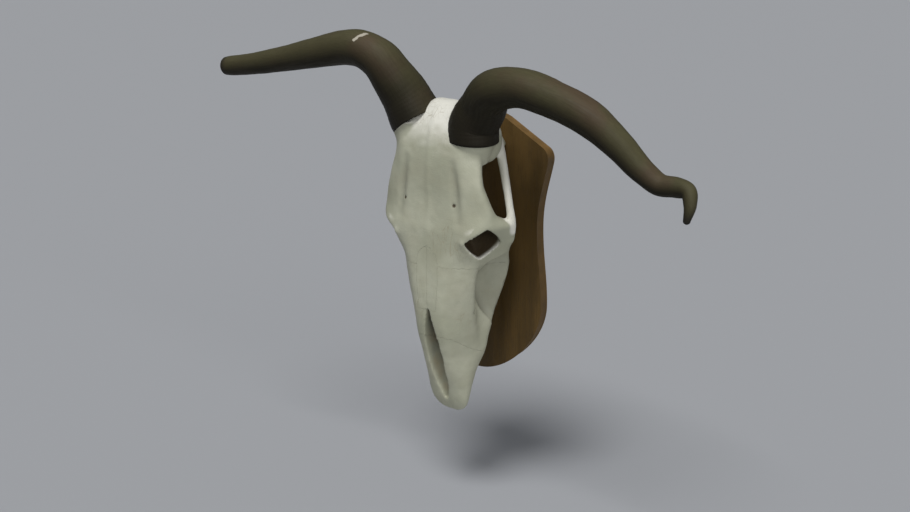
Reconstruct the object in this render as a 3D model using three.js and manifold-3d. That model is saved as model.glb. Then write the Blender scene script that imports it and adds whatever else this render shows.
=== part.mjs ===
// A bull's skull, without its lower jaw, on a shield of dark wood that hangs on a wall.
// Millimetres, +Z up. The skull faces -Y and the wall is the plane Y = 0, behind the shield.
// +X is the animal's left side. The origin is the middle of the shield's flat back.
import * as THREE from "three";
import { mergeVertices } from "three/addons/utils/BufferGeometryUtils.js";
import Module from "manifold-3d";

const wasm = await Module();
wasm.setup();

// Driving dimensions
const GAP = 0.3; // between touching pieces

const SHIELD_THICK = 22;
const SHIELD_BEVEL = 3;
const SHIELD_TOP = 219;
const SHIELD_SHOULDER = [47, 209];
const SHIELD_CORNER = [129, 157];
const SHIELD_WAIST = [110, 45];
const SHIELD_HIP = [120, -88];
const SHIELD_BOTTOM = -210;

// Skull sections from the poll down to the muzzle, each half of a closed curve in X and Y:
// the middle of the front, the flat, the shoulder, the crest, the hollow, the edge and the back.
const SKULL_SECTIONS = [
  { z: 246, front: -114, flat: [8, -113], shoulder: [14, -112], crest: [19, -108],
    hollow: [19, -104], edge: [15, -98], back: -96 },
  { z: 240, front: -123, flat: [13, -122], shoulder: [22, -119], crest: [28, -112],
    hollow: [29, -104], edge: [25, -95], back: -92 },
  { z: 225, front: -134, flat: [20, -133], shoulder: [34, -130], crest: [44, -119],
    hollow: [47, -107], edge: [42, -92], back: -86 },
  { z: 198, front: -146, flat: [30, -145], shoulder: [58, -143], crest: [78, -129],
    hollow: [75, -111], edge: [58, -94], back: -84 },
  { z: 165, front: -152, flat: [32, -151], shoulder: [58, -148], crest: [81, -129],
    hollow: [76, -117], edge: [52, -106], back: -98 },
  { z: 130, front: -153, flat: [32, -152], shoulder: [60, -149], crest: [87, -136],
    hollow: [82, -122], edge: [54, -110], back: -102 },
  { z: 106, front: -153, flat: [32, -152], shoulder: [62, -149], crest: [95, -134],
    hollow: [89, -118], edge: [58, -106], back: -99 },
  { z: 82, front: -154, flat: [32, -153], shoulder: [66, -149], crest: [102, -130],
    hollow: [98, -112], edge: [62, -98], back: -92 },
  { z: 64, front: -155, flat: [32, -154], shoulder: [66, -151], crest: [97, -140],
    hollow: [111, -108], edge: [105, -82], back: -77 },
  { z: 52, front: -156, flat: [31, -155], shoulder: [60, -153], crest: [88, -147],
    hollow: [108, -110], edge: [109, -80], back: -69 },
  { z: 36, front: -156, flat: [29, -155], shoulder: [52, -153], crest: [74, -148],
    hollow: [100, -105], edge: [109, -77], back: -66 },
  { z: 18, front: -156, flat: [28, -155], shoulder: [49, -151], crest: [73, -136],
    hollow: [88, -107], edge: [100, -76], back: -62 },
  { z: -2, front: -156, flat: [27, -155], shoulder: [44, -150], crest: [71, -124],
    hollow: [75, -105], edge: [97, -66], back: -60 },
  { z: -28, front: -157, flat: [25, -156], shoulder: [38, -151], crest: [67, -120],
    hollow: [53, -101], edge: [91, -64], back: -60 },
  { z: -58, front: -157, flat: [23, -156], shoulder: [34, -151], crest: [62, -117],
    hollow: [49, -96], edge: [79, -62], back: -60 },
  { z: -92, front: -155, flat: [21, -154], shoulder: [30, -149], crest: [57, -111],
    hollow: [51, -90], edge: [66, -63], back: -61 },
  { z: -125, front: -149, flat: [19, -148], shoulder: [29, -144], crest: [53, -106],
    hollow: [54, -88], edge: [58, -68], back: -66 },
  { z: -158, front: -139, flat: [17, -138], shoulder: [28, -134], crest: [48, -103],
    hollow: [53, -88], edge: [54, -75], back: -73 },
  { z: -190, front: -129, flat: [17, -128], shoulder: [28, -124], crest: [43, -105],
    hollow: [46, -92], edge: [42, -82], back: -80 },
  { z: -220, front: -116, flat: [17, -116], shoulder: [28, -113], crest: [39, -104],
    hollow: [41, -96], edge: [36, -87], back: -86 },
  { z: -246, front: -107, flat: [15, -107], shoulder: [26, -105], crest: [35, -100],
    hollow: [35, -95], edge: [29, -89], back: -88 },
  { z: -260, front: -100, flat: [11, -100], shoulder: [19, -99], crest: [26, -97],
    hollow: [26, -94], edge: [20, -91], back: -90 },
  { z: -266, front: -97, flat: [5, -97], shoulder: [9, -97], crest: [12, -96],
    hollow: [12, -95], edge: [9, -93], back: -93 },
];
const SKULL_STEPS_DOWN = 48;
const SKULL_STEPS_ROUND = 36;

// Braincase behind the forehead: height, half width, front and back.
const BRAINCASE = [
  { z: 222, half: 34, front: -126, back: -66 },
  { z: 212, half: 56, front: -134, back: -52 },
  { z: 192, half: 67, front: -138, back: -44 },
  { z: 160, half: 50, front: -138, back: -46 },
  { z: 118, half: 46, front: -136, back: -50 },
  { z: 76, half: 43, front: -130, back: -56 },
  { z: 40, half: 38, front: -120, back: -60 },
];

// Eye sockets: where one opens, the way it faces, its radius, depth and raised rim.
const ORBIT_CENTRE = new THREE.Vector3(84, -125, 36);
const ORBIT_AXIS = new THREE.Vector3(0.83, -0.46, -0.3).normalize();
const ORBIT_RADIUS = 26;
const ORBIT_MOUTH = 20;
const ORBIT_DEPTH = 44;
const ORBIT_DIAMOND = 0.14;
const ORBIT_STRAIGHT = 0.3; // share of the depth before it narrows
const ORBIT_CLOSING = 0.78;
const ORBIT_RIM_RADIUS = 27.5;
const ORBIT_RIM = 4.2;
const ORBIT_RIM_BACK = 4.5;

// Cheek arch from under the orbit back to the corner of the nape.
const ARCH_PATH = [[101, -82, 34], [104, -82, 60], [99, -80, 86], [85, -69, 118],
  [71, -59, 158], [57, -55, 196]];
const ARCH_HALF_WIDE = [10, 9, 8, 7, 7, 10];
const ARCH_HALF_THICK = 9;

// Horns: distance out, forward and up of the middle line, and the radius there.
const HORN_LEFT = [[56, 112, 190, 39], [58, 112, 214, 38.5], [76, 116, 240, 36],
  [94, 126, 262, 33], [117, 133, 274, 31.3], [160, 136, 280, 28.7], [215, 133, 268, 27.4],
  [271, 128, 246, 25.6], [315, 123, 214, 21.5], [352, 118, 181, 18], [377, 116, 166, 15.2],
  [403, 117, 166, 14], [424, 122, 164, 11.4], [431, 129, 148, 9.2], [429, 134, 122, 4.5]];
const HORN_RIGHT = [[56, 112, 213, 42], [71, 118, 245, 38.5], [85, 131, 274, 35],
  [103, 141, 301, 31.7], [130, 147, 315, 29.4], [164, 152, 316, 27], [216, 158, 306, 24],
  [276, 163, 293, 21], [342, 168, 280, 18], [405, 172, 271, 16], [422, 173, 269, 14.5]];
const HORN_LEFT_BASE = new THREE.Vector3(0.1, -0.08, 0.99);
const HORN_RIGHT_BASE = new THREE.Vector3(-0.58, -0.17, 0.79);
const HORN_STEPS = 36;
const HORN_SIDES = 16;

// The bone that carries a horn, from the sheath down into the forehead.
const ROOT_FROM = [59, -112, 208];
const ROOT_TO = [46, -112, 160];
const ROOT_RADII = [37, 31];
const ROOT_SIDES = 20;

const TEETH = 6;
const TOOTH_FIRST = -22;
const TOOTH_PITCH = 21;
const TOOTH_ROW_OUT = [45, 32];
const TOOTH_RADII = [8.5, 6.3];
const TOOTH_CUSP = 4.5;
const TOOTH_ROOT = -74;
const TOOTH_TIP = -50;

// Rounded forms of the temple, the poll, the nape and the palate: middle point, half sizes and turn.
const TEMPLE = [[58, -84, 186], [24, 28, 36], 0];
const POLL_SIDE = [[42, -114, 214], [25, 24, 20], 0];
const NAPE_KNOB = [[22, -42, 205], [13, 21, 15], 0.35];
const EAR_CAPSULE = [[20, -58, 146], [11, 13, 18], 0];
const SPINE_HOLE = [[0, -46, 218], [14, 17, 20], 0];
const PALATE_ARCH = [[0, -50, -62], [32, 20, 92], 0];
const REAR_NOSE = [[0, -48, 48], [15, 26, 34], 0];

// Tapered bars: two ends, their radii and the number of sides.
const NAPE_PROCESS = [[50, -62, 196], [48, -24, 168], [13, 6], 10];
const PALATE_WING = [[22, -64, 70], [20, -44, 30], [7, 3], 8];
const BROW_HOLE = [[51, -162, 96], [44, -138, 90], [3.6, 2.2], 10];
const CHEEK_HOLE = [[66, -112, -92], [48, -100, -76], [5, 3], 10];

// The nose opening: top and bottom, its floor there, half widths down it and the front.
const NOSE_HEIGHTS = [-78, -244];
const NOSE_FLOORS = [-112, -98];
const NOSE_HALF = [2, 8, 12.5, 14.5, 14.5, 13.5, 6];
const NOSE_FRONT = -185;

const PEG_RADIUS = 11;
const PEG_HEIGHT = -70;
const PEG_END = -78;
const PEG_SOCKET_START = -10;

const HANGER_HEIGHT = 120;
const HANGER_HALF = [26, 11];
const HANGER_THICK = 2;
const HANGER_POCKET = 9;
const HANGER_HOLE = 4.6;
const HANGER_SLOT = 2.4;
const HANGER_DROP = 3;
const HANGER_RISE = 7;
const SCREW_OUT = 19;
const SCREW_HEAD = [3.6, 1.4];
const SCREW_SHANK = [1.6, 14];
const CLEAR = 10; // past the back, for cuts
const FAR = 400; // past every part, for cuts

// Cuts between the bones
const JAW_SEAM_Z = -6;
const MUZZLE_SEAM_Z = -148;
const MUZZLE_SEAM_TILT = 0.5;
const NASAL_TOP = 26;
const NASAL_TIP = -80;
const NASAL_HALF = [22, 17];
const NASAL_CURVE = 8;
const NASAL_FRONT = -175;
const NASAL_BACK = -144;

const material = (color, roughness, metalness = 0) =>
  new THREE.MeshStandardMaterial({ color, roughness, metalness });
const BONE = material(0xbcb7a0, 0.75);
const HORN = material(0x46392a, 0.5);
const WOOD = material(0x6b4526, 0.55);
const STEEL = material(0x9a9a96, 0.4, 1);

// A closed geometry as a solid, with its shared vertices merged.
function solid(geometry) {
  const bare = new THREE.BufferGeometry();
  bare.setAttribute("position", geometry.getAttribute("position"));
  if (geometry.index) bare.setIndex(geometry.index);
  const merged = mergeVertices(bare, 1e-4);
  return new wasm.Manifold(
    new wasm.Mesh({
      numProp: 3,
      vertProperties: merged.attributes.position.array,
      triVerts: new Uint32Array(merged.index.array),
    }),
  );
}

function join(solids) {
  return solids.reduce((whole, one) => whole.add(one));
}

// The largest closed surface of a solid, with loose scraps and sealed hollows dropped.
function largest(made) {
  return made.decompose().reduce((a, b) => (b.volume() > a.volume() ? b : a));
}

function piece(name, made, look) {
  const mesh = largest(made).getMesh();
  const geometry = new THREE.BufferGeometry();
  geometry.setAttribute("position", new THREE.BufferAttribute(mesh.vertProperties, 3));
  geometry.setIndex(new THREE.BufferAttribute(mesh.triVerts, 1));
  geometry.computeVertexNormals();
  const node = new THREE.Mesh(geometry, look);
  node.name = name;
  return node;
}

// A closed tube whose rings are set by place(share along, angle round), with flat ends.
function rings(around, along, place) {
  const geometry = new THREE.CylinderGeometry(1, 1, 1, around, along);
  const position = geometry.getAttribute("position");
  const point = new THREE.Vector3();
  for (let i = 0; i < position.count; i += 1) {
    point.fromBufferAttribute(position, i);
    const share = 0.5 - point.y;
    const radius = Math.round(Math.hypot(point.x, point.z));
    place(share, Math.atan2(point.x, point.z), radius, point);
    position.setXYZ(i, point.x, point.y, point.z);
  }
  return solid(geometry);
}

// A smooth curve through the values that the stations give for one size.
function along(values) {
  const curve = new THREE.SplineCurve(values.map((v, i) => new THREE.Vector2(i, v)));
  return (share) => curve.getPoint(share).y;
}

// The skull's outer form from the forehead to the muzzle, lofted through its sections.
function faceSolid() {
  const names = ["flat", "shoulder", "crest", "hollow", "edge"];
  const pick = (read) => along(SKULL_SECTIONS.map(read));
  const z = pick((s) => s.z);
  const front = pick((s) => s.front);
  const back = pick((s) => s.back);
  const xs = names.map((name) => pick((s) => s[name][0]));
  const ys = names.map((name) => pick((s) => s[name][1]));
  const sectionAt = (share) => {
    const half = names.map((_, i) => [xs[i](share), ys[i](share)]);
    const points = [[0, front(share)], ...half, [0, back(share)]];
    points.push(...half.map(([x, y]) => [-x, y]).reverse());
    const height = z(share);
    return new THREE.CatmullRomCurve3(
      points.map(([x, y]) => new THREE.Vector3(x, y, height)),
      true,
      "centripetal",
    );
  };
  const curves = new Map();
  return rings(SKULL_STEPS_ROUND, SKULL_STEPS_DOWN, (share, angle, radius, point) => {
    if (!curves.has(share)) curves.set(share, sectionAt(share));
    const turn = (angle / (2 * Math.PI) + 1) % 1;
    curves.get(share).getPoint(turn, point);
    if (radius === 0) point.set(0, (front(share) + back(share)) / 2, z(share));
  });
}

function braincaseSolid() {
  const pick = (name) => along(BRAINCASE.map((s) => s[name]));
  const [z, half, front, back] = ["z", "half", "front", "back"].map(pick);
  return rings(22, 10, (share, angle, radius, point) => {
    const middle = (front(share) + back(share)) / 2;
    const deep = (back(share) - front(share)) / 2;
    point.set(
      radius * half(share) * Math.sin(angle),
      middle - radius * deep * Math.cos(angle),
      z(share),
    );
  });
}

// A ball stretched to three half sizes, turned about Z and set at a place.
function knob([middle, half, turn]) {
  const geometry = new THREE.SphereGeometry(1, 12, 8);
  geometry.scale(...half);
  geometry.rotateZ(turn);
  geometry.translate(...middle);
  return solid(geometry);
}

// A tapered round bar between two points.
function bar([from, to, [radiusFrom, radiusTo], sides]) {
  const a = new THREE.Vector3(...from);
  const b = new THREE.Vector3(...to);
  const length = a.distanceTo(b);
  const geometry = new THREE.CylinderGeometry(radiusTo, radiusFrom, length, sides, 1);
  const up = new THREE.Vector3(0, 1, 0);
  const turn = new THREE.Quaternion().setFromUnitVectors(up, b.clone().sub(a).normalize());
  geometry.applyQuaternion(turn);
  geometry.translate(...a.add(b).multiplyScalar(0.5).toArray());
  return solid(geometry);
}

function box(low, high) {
  const size = high.map((v, i) => v - low[i]);
  const geometry = new THREE.BoxGeometry(...size);
  geometry.translate(...low.map((v, i) => v + size[i] / 2));
  return solid(geometry);
}

function mirrored(made) {
  return made.mirror([1, 0, 0]);
}

function bothSides(made) {
  return made.add(mirrored(made));
}

// A tube round a path with a width and a thickness that follow it.
function sweptBar(path, halfWide, halfThick, steps, sides) {
  const curve = new THREE.CatmullRomCurve3(path.map((p) => new THREE.Vector3(...p)));
  const wide = along(halfWide);
  const side = new THREE.Vector3();
  const out = new THREE.Vector3();
  return rings(sides, steps, (share, angle, radius, point) => {
    const middle = curve.getPoint(share);
    const tangent = curve.getTangent(share);
    out.set(1, -0.35, 0).addScaledVector(tangent, -out.dot(tangent)).normalize();
    side.crossVectors(out, tangent);
    point.copy(middle);
    point.addScaledVector(side, radius * wide(share) * Math.sin(angle));
    point.addScaledVector(out, radius * halfThick * Math.cos(angle));
  });
}

// A horn sheath round its own centre line. side is +1 on the animal's left, -1 on its right.
// Its first ring is square to base, the others to the line.
function hornSolid(stations, side, base, grow) {
  const places = stations.map(
    ([out, forward, up]) => new THREE.Vector3(side * out, -forward, up),
  );
  const curve = new THREE.CatmullRomCurve3(places, false, "centripetal");
  const radiusAt = along(stations.map((s) => s[3]));
  const normal = new THREE.Vector3();
  const across = new THREE.Vector3();
  return rings(HORN_SIDES, HORN_STEPS, (share, angle, radius, point) => {
    const middle = curve.getPoint(share);
    const tangent = share === 0 ? base.clone().normalize() : curve.getTangent(share);
    normal.set(0, -1, 0);
    normal.addScaledVector(tangent, -normal.dot(tangent)).normalize();
    across.crossVectors(normal, tangent);
    const wide = radius * (radiusAt(share) + grow);
    point.copy(middle);
    if (share === 0) point.addScaledVector(tangent, -grow);
    if (share === 1) point.addScaledVector(tangent, grow);
    point.addScaledVector(across, wide * Math.sin(angle));
    point.addScaledVector(normal, wide * Math.cos(angle));
  });
}

// The directions across and up the mouth of the eye socket.
function orbitSides() {
  const across = new THREE.Vector3(0, 0, 1).cross(ORBIT_AXIS).normalize();
  return [across, ORBIT_AXIS.clone().cross(across)];
}

// The eye socket's raised rim, on the animal's left.
function orbitRim() {
  const geometry = new THREE.TorusGeometry(ORBIT_RIM_RADIUS, ORBIT_RIM, 6, 20);
  const position = geometry.getAttribute("position");
  for (let i = 0; i < position.count; i += 1) {
    const [x, y] = [position.getX(i), position.getY(i)];
    const diamond = 1 + ORBIT_DIAMOND * Math.cos(4 * Math.atan2(y, x));
    position.setXYZ(i, x * diamond, y * diamond, position.getZ(i));
  }
  const middle = ORBIT_CENTRE.clone().addScaledVector(ORBIT_AXIS, -ORBIT_RIM_BACK);
  geometry.applyMatrix4(new THREE.Matrix4().makeBasis(...orbitSides(), ORBIT_AXIS));
  geometry.translate(...middle.toArray());
  return solid(geometry);
}

// The eye socket's hollow: a rounded diamond that narrows inwards.
function orbitHollow() {
  const [across, up] = orbitSides();
  return rings(20, 6, (share, angle, radius, point) => {
    const reach = THREE.MathUtils.lerp(ORBIT_MOUTH, -ORBIT_DEPTH, share);
    const past = Math.max(0, share - ORBIT_STRAIGHT) / ORBIT_CLOSING;
    const narrow = Math.sqrt(1 - past ** 2);
    const diamond = 1 + ORBIT_DIAMOND * Math.cos(4 * angle);
    const wide = radius * ORBIT_RADIUS * narrow * diamond;
    point.copy(ORBIT_CENTRE).addScaledVector(ORBIT_AXIS, reach);
    point.addScaledVector(across, wide * Math.sin(angle));
    point.addScaledVector(up, -wide * Math.cos(angle));
  });
}

// The pear-shaped opening of the nose between the nasal bones and the muzzle.
function noseHollow() {
  const halfWide = along(NOSE_HALF);
  return rings(16, 10, (share, angle, radius, point) => {
    const deep = (THREE.MathUtils.lerp(...NOSE_FLOORS, share) - NOSE_FRONT) / 2;
    point.set(
      radius * halfWide(share) * Math.sin(angle),
      NOSE_FRONT + deep - radius * deep * Math.cos(angle),
      THREE.MathUtils.lerp(...NOSE_HEIGHTS, share),
    );
  });
}

// One cheek tooth: a block with two rounded cusps.
function toothSolid(out, z) {
  const cusps = [-TOOTH_CUSP, TOOTH_CUSP].map((off) =>
    bar([[out, TOOTH_ROOT, z + off], [out, TOOTH_TIP, z + off], TOOTH_RADII, 8]),
  );
  return join(cusps);
}

function toothRow() {
  const row = [];
  for (let i = 0; i < TEETH; i += 1) {
    const out = THREE.MathUtils.lerp(TOOTH_ROW_OUT[0], TOOTH_ROW_OUT[1], i / (TEETH - 1));
    row.push(toothSolid(out, TOOTH_FIRST - i * TOOTH_PITCH));
  }
  return join(row);
}

// Everything of bone as one solid, before the seams part it.
function skullSolid() {
  const leftSide = join([
    sweptBar(ARCH_PATH, ARCH_HALF_WIDE, ARCH_HALF_THICK, 14, 10),
    orbitRim(),
    toothRow(),
    bar([ROOT_FROM, ROOT_TO, ROOT_RADII, ROOT_SIDES]),
    ...[TEMPLE, POLL_SIDE, NAPE_KNOB, EAR_CAPSULE].map(knob),
    ...[NAPE_PROCESS, PALATE_WING].map(bar),
  ]);
  const parts = [faceSolid(), braincaseSolid(), bothSides(leftSide)];
  const hollows = join([
    bothSides(orbitHollow()),
    noseHollow(),
    ...[SPINE_HOLE, PALATE_ARCH, REAR_NOSE].map(knob),
    ...[BROW_HOLE, CHEEK_HOLE].map((hole) => bothSides(bar(hole))),
  ]);
  return join(parts).subtract(hollows);
}

// The two nasal bones' shape in front view, as a block through the front of the face.
function nasalBlock(shrink) {
  const [wide, narrow] = NASAL_HALF.map((v) => v - shrink);
  const top = NASAL_TOP - shrink;
  const shape = new THREE.Shape();
  shape.moveTo(-narrow, NASAL_TIP);
  shape.lineTo(narrow, NASAL_TIP);
  shape.lineTo(wide, 0);
  shape.quadraticCurveTo(wide, top - NASAL_CURVE, 0, top);
  shape.quadraticCurveTo(-wide, top - NASAL_CURVE, -wide, 0);
  shape.closePath();
  const deep = NASAL_BACK - shrink - NASAL_FRONT;
  const settings = { depth: deep, bevelEnabled: false, curveSegments: 6 };
  const geometry = new THREE.ExtrudeGeometry(shape, settings);
  geometry.rotateX(Math.PI / 2);
  geometry.translate(0, NASAL_FRONT + deep, 0);
  return solid(geometry);
}

// A block that holds all below a plane that crosses Y = -100 at z and rises to the front.
function below(z, tilt) {
  const geometry = new THREE.BoxGeometry(2 * FAR, 2 * FAR, 2 * FAR);
  geometry.translate(0, 0, -FAR);
  geometry.rotateX(-Math.atan(tilt));
  geometry.translate(0, -100, z);
  return solid(geometry);
}

// A rod along Y between two depths.
function rod(x, z, from, to, radius, sides) {
  return bar([[x, from, z], [x, to, z], [radius, radius], sides]);
}

// The keyhole that the wall's screw slides up into, cut to a depth from the back.
function keyhole(depth, wider) {
  const low = HANGER_HEIGHT - HANGER_DROP;
  const high = HANGER_HEIGHT + HANGER_RISE;
  const half = HANGER_SLOT * wider;
  const slot = box([-half, depth, low], [half, CLEAR, high]);
  const hole = rod(0, low, depth, CLEAR, HANGER_HOLE * wider, 16);
  return join([hole, slot, rod(0, high, depth, CLEAR, half, 12)]);
}

// The two screws that hold the hanger: a flat head flush with the back, and the shank.
function hangerScrews(grow) {
  const [headRadius, headThick] = SCREW_HEAD;
  const [shankRadius, length] = SCREW_SHANK;
  return [-SCREW_OUT, SCREW_OUT].map((x) => {
    const head = rod(x, HANGER_HEIGHT, -headThick - grow, 0, headRadius + grow, 16);
    const shank = rod(x, HANGER_HEIGHT, -length - grow, -1, shankRadius + grow, 10);
    return head.add(shank);
  });
}

function hangerPlate() {
  const [halfX, halfZ] = HANGER_HALF;
  const plate = box(
    [-halfX, -HANGER_THICK - GAP, HANGER_HEIGHT - halfZ],
    [halfX, -GAP, HANGER_HEIGHT + halfZ],
  );
  return plate.subtract(join([keyhole(-HANGER_POCKET, 1), ...hangerScrews(GAP)]));
}

function shieldSolid() {
  const [cornerX, cornerZ] = SHIELD_CORNER;
  const [waistX, waistZ] = SHIELD_WAIST;
  const [hipX, hipZ] = SHIELD_HIP;
  const right = (shape) => {
    shape.quadraticCurveTo(SHIELD_SHOULDER[0] * 0.6, SHIELD_TOP - 2, ...SHIELD_SHOULDER);
    shape.lineTo(cornerX - 8, cornerZ + 11);
    shape.quadraticCurveTo(cornerX + 1, cornerZ + 4, cornerX - 1, cornerZ - 9);
    shape.bezierCurveTo(cornerX - 6, cornerZ - 36, waistX, waistZ + 44, waistX, waistZ);
    shape.bezierCurveTo(waistX, waistZ - 52, hipX, hipZ + 46, hipX, hipZ);
    shape.bezierCurveTo(hipX + 1, hipZ - 58, hipX * 0.45, SHIELD_BOTTOM, 0, SHIELD_BOTTOM);
  };
  const half = new THREE.Shape();
  half.moveTo(0, SHIELD_TOP);
  right(half);
  const outline = half.getPoints(10);
  const mirror = outline.slice(1, -1).map((p) => new THREE.Vector2(-p.x, p.y));
  const shape = new THREE.Shape([...outline, ...mirror.reverse()]);
  const geometry = new THREE.ExtrudeGeometry(shape, {
    depth: SHIELD_THICK - SHIELD_BEVEL,
    bevelThickness: SHIELD_BEVEL,
    bevelSize: SHIELD_BEVEL,
    bevelOffset: -SHIELD_BEVEL,
    bevelSegments: 2,
  });
  geometry.rotateX(Math.PI / 2);
  const wall = box([-FAR, 0, -FAR], [FAR, FAR, FAR]);
  const [halfX, halfZ] = HANGER_HALF.map((v) => v + GAP);
  const recess = box(
    [-halfX, -HANGER_THICK - 2 * GAP, HANGER_HEIGHT - halfZ],
    [halfX, CLEAR, HANGER_HEIGHT + halfZ],
  );
  const cuts = join([wall, recess, keyhole(-HANGER_POCKET, 1.2), ...hangerScrews(GAP)]);
  return solid(geometry).subtract(cuts);
}

const peg = rod(0, PEG_HEIGHT, PEG_END, -SHIELD_THICK - GAP, PEG_RADIUS, 20);
const pegSocket = rod(0, PEG_HEIGHT, PEG_END - GAP, PEG_SOCKET_START, PEG_RADIUS + GAP, 20);
const shieldFace = box([-FAR, -SHIELD_THICK - GAP, -FAR], [FAR, FAR, FAR]);

const skull = skullSolid()
  .subtract(hornSolid(HORN_LEFT, 1, HORN_LEFT_BASE, GAP))
  .subtract(hornSolid(HORN_RIGHT, -1, HORN_RIGHT_BASE, GAP))
  .subtract(shieldFace)
  .subtract(pegSocket);

const middleGap = box([-GAP / 2, -FAR, -FAR], [GAP / 2, FAR, FAR]);
const leftHalf = box([0, -FAR, -FAR], [FAR, FAR, FAR]);
const jaw = skull.intersect(below(JAW_SEAM_Z - GAP / 2, 0));
const cranium = skull.subtract(below(JAW_SEAM_Z + GAP / 2, 0));
const nasals = skull.intersect(nasalBlock(GAP)).subtract(middleGap);
const muzzle = jaw.intersect(below(MUZZLE_SEAM_Z - GAP, MUZZLE_SEAM_TILT));
const upperJaw = jaw.subtract(below(MUZZLE_SEAM_Z, MUZZLE_SEAM_TILT));
const premaxillae = muzzle.subtract(nasalBlock(0)).subtract(middleGap);

const model = new THREE.Group();
model.add(piece("plaque", shieldSolid(), WOOD));
model.add(piece("plaque_peg", peg, WOOD));
model.add(piece("hanger_plate", hangerPlate(), STEEL));
hangerScrews(0).forEach((screw, i) => {
  model.add(piece(`hanger_screw_${i + 1}`, screw, STEEL));
});
model.add(piece("cranium", cranium.subtract(nasalBlock(0)), BONE));
model.add(piece("maxilla", upperJaw.subtract(nasalBlock(0)), BONE));
model.add(piece("nasal_left", nasals.intersect(leftHalf), BONE));
model.add(piece("nasal_right", nasals.subtract(leftHalf), BONE));
model.add(piece("premaxilla_left", premaxillae.intersect(leftHalf), BONE));
model.add(piece("premaxilla_right", premaxillae.subtract(leftHalf), BONE));
model.add(piece("horn_left", hornSolid(HORN_LEFT, 1, HORN_LEFT_BASE, 0), HORN));
model.add(piece("horn_right", hornSolid(HORN_RIGHT, -1, HORN_RIGHT_BASE, 0), HORN));

export default model;
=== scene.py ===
import math

import bpy
import numpy as np
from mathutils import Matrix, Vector, noise
from mathutils.bvhtree import BVHTree
from mathutils.kdtree import KDTree


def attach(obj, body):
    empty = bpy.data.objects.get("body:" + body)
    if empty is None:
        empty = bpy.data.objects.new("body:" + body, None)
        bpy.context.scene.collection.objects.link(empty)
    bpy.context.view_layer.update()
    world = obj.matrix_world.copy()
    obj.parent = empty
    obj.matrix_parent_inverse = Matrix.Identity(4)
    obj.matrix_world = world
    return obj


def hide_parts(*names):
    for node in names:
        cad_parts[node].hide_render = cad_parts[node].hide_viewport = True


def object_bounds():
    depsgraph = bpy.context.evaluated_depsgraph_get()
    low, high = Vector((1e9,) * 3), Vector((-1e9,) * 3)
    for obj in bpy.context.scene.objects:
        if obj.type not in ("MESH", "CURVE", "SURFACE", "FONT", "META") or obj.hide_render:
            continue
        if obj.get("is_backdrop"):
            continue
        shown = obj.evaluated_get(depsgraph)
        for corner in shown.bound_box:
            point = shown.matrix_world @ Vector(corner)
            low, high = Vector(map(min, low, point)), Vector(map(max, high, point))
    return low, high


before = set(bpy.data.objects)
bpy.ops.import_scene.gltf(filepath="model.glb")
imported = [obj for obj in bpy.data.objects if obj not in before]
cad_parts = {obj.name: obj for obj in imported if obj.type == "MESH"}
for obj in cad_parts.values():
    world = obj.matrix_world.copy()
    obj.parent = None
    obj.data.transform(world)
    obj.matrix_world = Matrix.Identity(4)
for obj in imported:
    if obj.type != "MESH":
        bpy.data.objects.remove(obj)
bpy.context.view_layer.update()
MM = 0.001

# The camera stands two metres away, to the skull's left and a little above it.
# It sees the whole width of the horns, as the photograph does.
CAMERA_AIM = Vector((0.0079, -0.0954, -0.0044))
CAMERA_AZIMUTH = math.radians(38)
CAMERA_RISE = math.radians(16)
CAMERA_DISTANCE = 2.0

camera = bpy.data.objects.new("camera", bpy.data.cameras.new("camera"))
bpy.context.scene.collection.objects.link(camera)
camera.data.lens = 50
camera.data.sensor_width = 36
towards_camera = Vector((
    math.sin(CAMERA_AZIMUTH) * math.cos(CAMERA_RISE),
    -math.cos(CAMERA_AZIMUTH) * math.cos(CAMERA_RISE),
    math.sin(CAMERA_RISE),
))
camera.location = CAMERA_AIM + towards_camera * CAMERA_DISTANCE
camera.rotation_euler = towards_camera.to_track_quat("Z", "Y").to_euler()
bpy.context.scene.camera = camera

# Soft studio light: a broad one overhead, a weaker one on the right, and a pale room.
# The floor is a plain pale sheet below the shield, and is no part of the object.
FLOOR_HEIGHT = -0.42
FLOOR_REACH = 80
FLOOR_COLOUR = (0.42, 0.43, 0.45, 1)
ROOM_COLOUR = (0.80, 0.84, 0.90, 1)
ROOM_STRENGTH = 0.17

world = bpy.data.worlds.new("pale room")
world.use_nodes = True
room = world.node_tree.nodes["Background"].inputs
room["Color"].default_value = ROOM_COLOUR
room["Strength"].default_value = ROOM_STRENGTH
bpy.context.scene.world = world
bpy.context.scene.view_settings.view_transform = "Standard"


def studio_light(name, towards, strength, spread):
    lamp = bpy.data.lights.new(name, "SUN")
    lamp.energy = strength
    lamp.angle = math.radians(spread)
    holder = bpy.data.objects.new(name, lamp)
    bpy.context.scene.collection.objects.link(holder)
    holder.rotation_euler = Vector(towards).to_track_quat("Z", "Y").to_euler()


studio_light("overhead_light", (0.12, -0.46, 0.88), 2.0, 26)
studio_light("side_light", (0.80, -0.52, 0.30), 0.90, 40)

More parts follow.
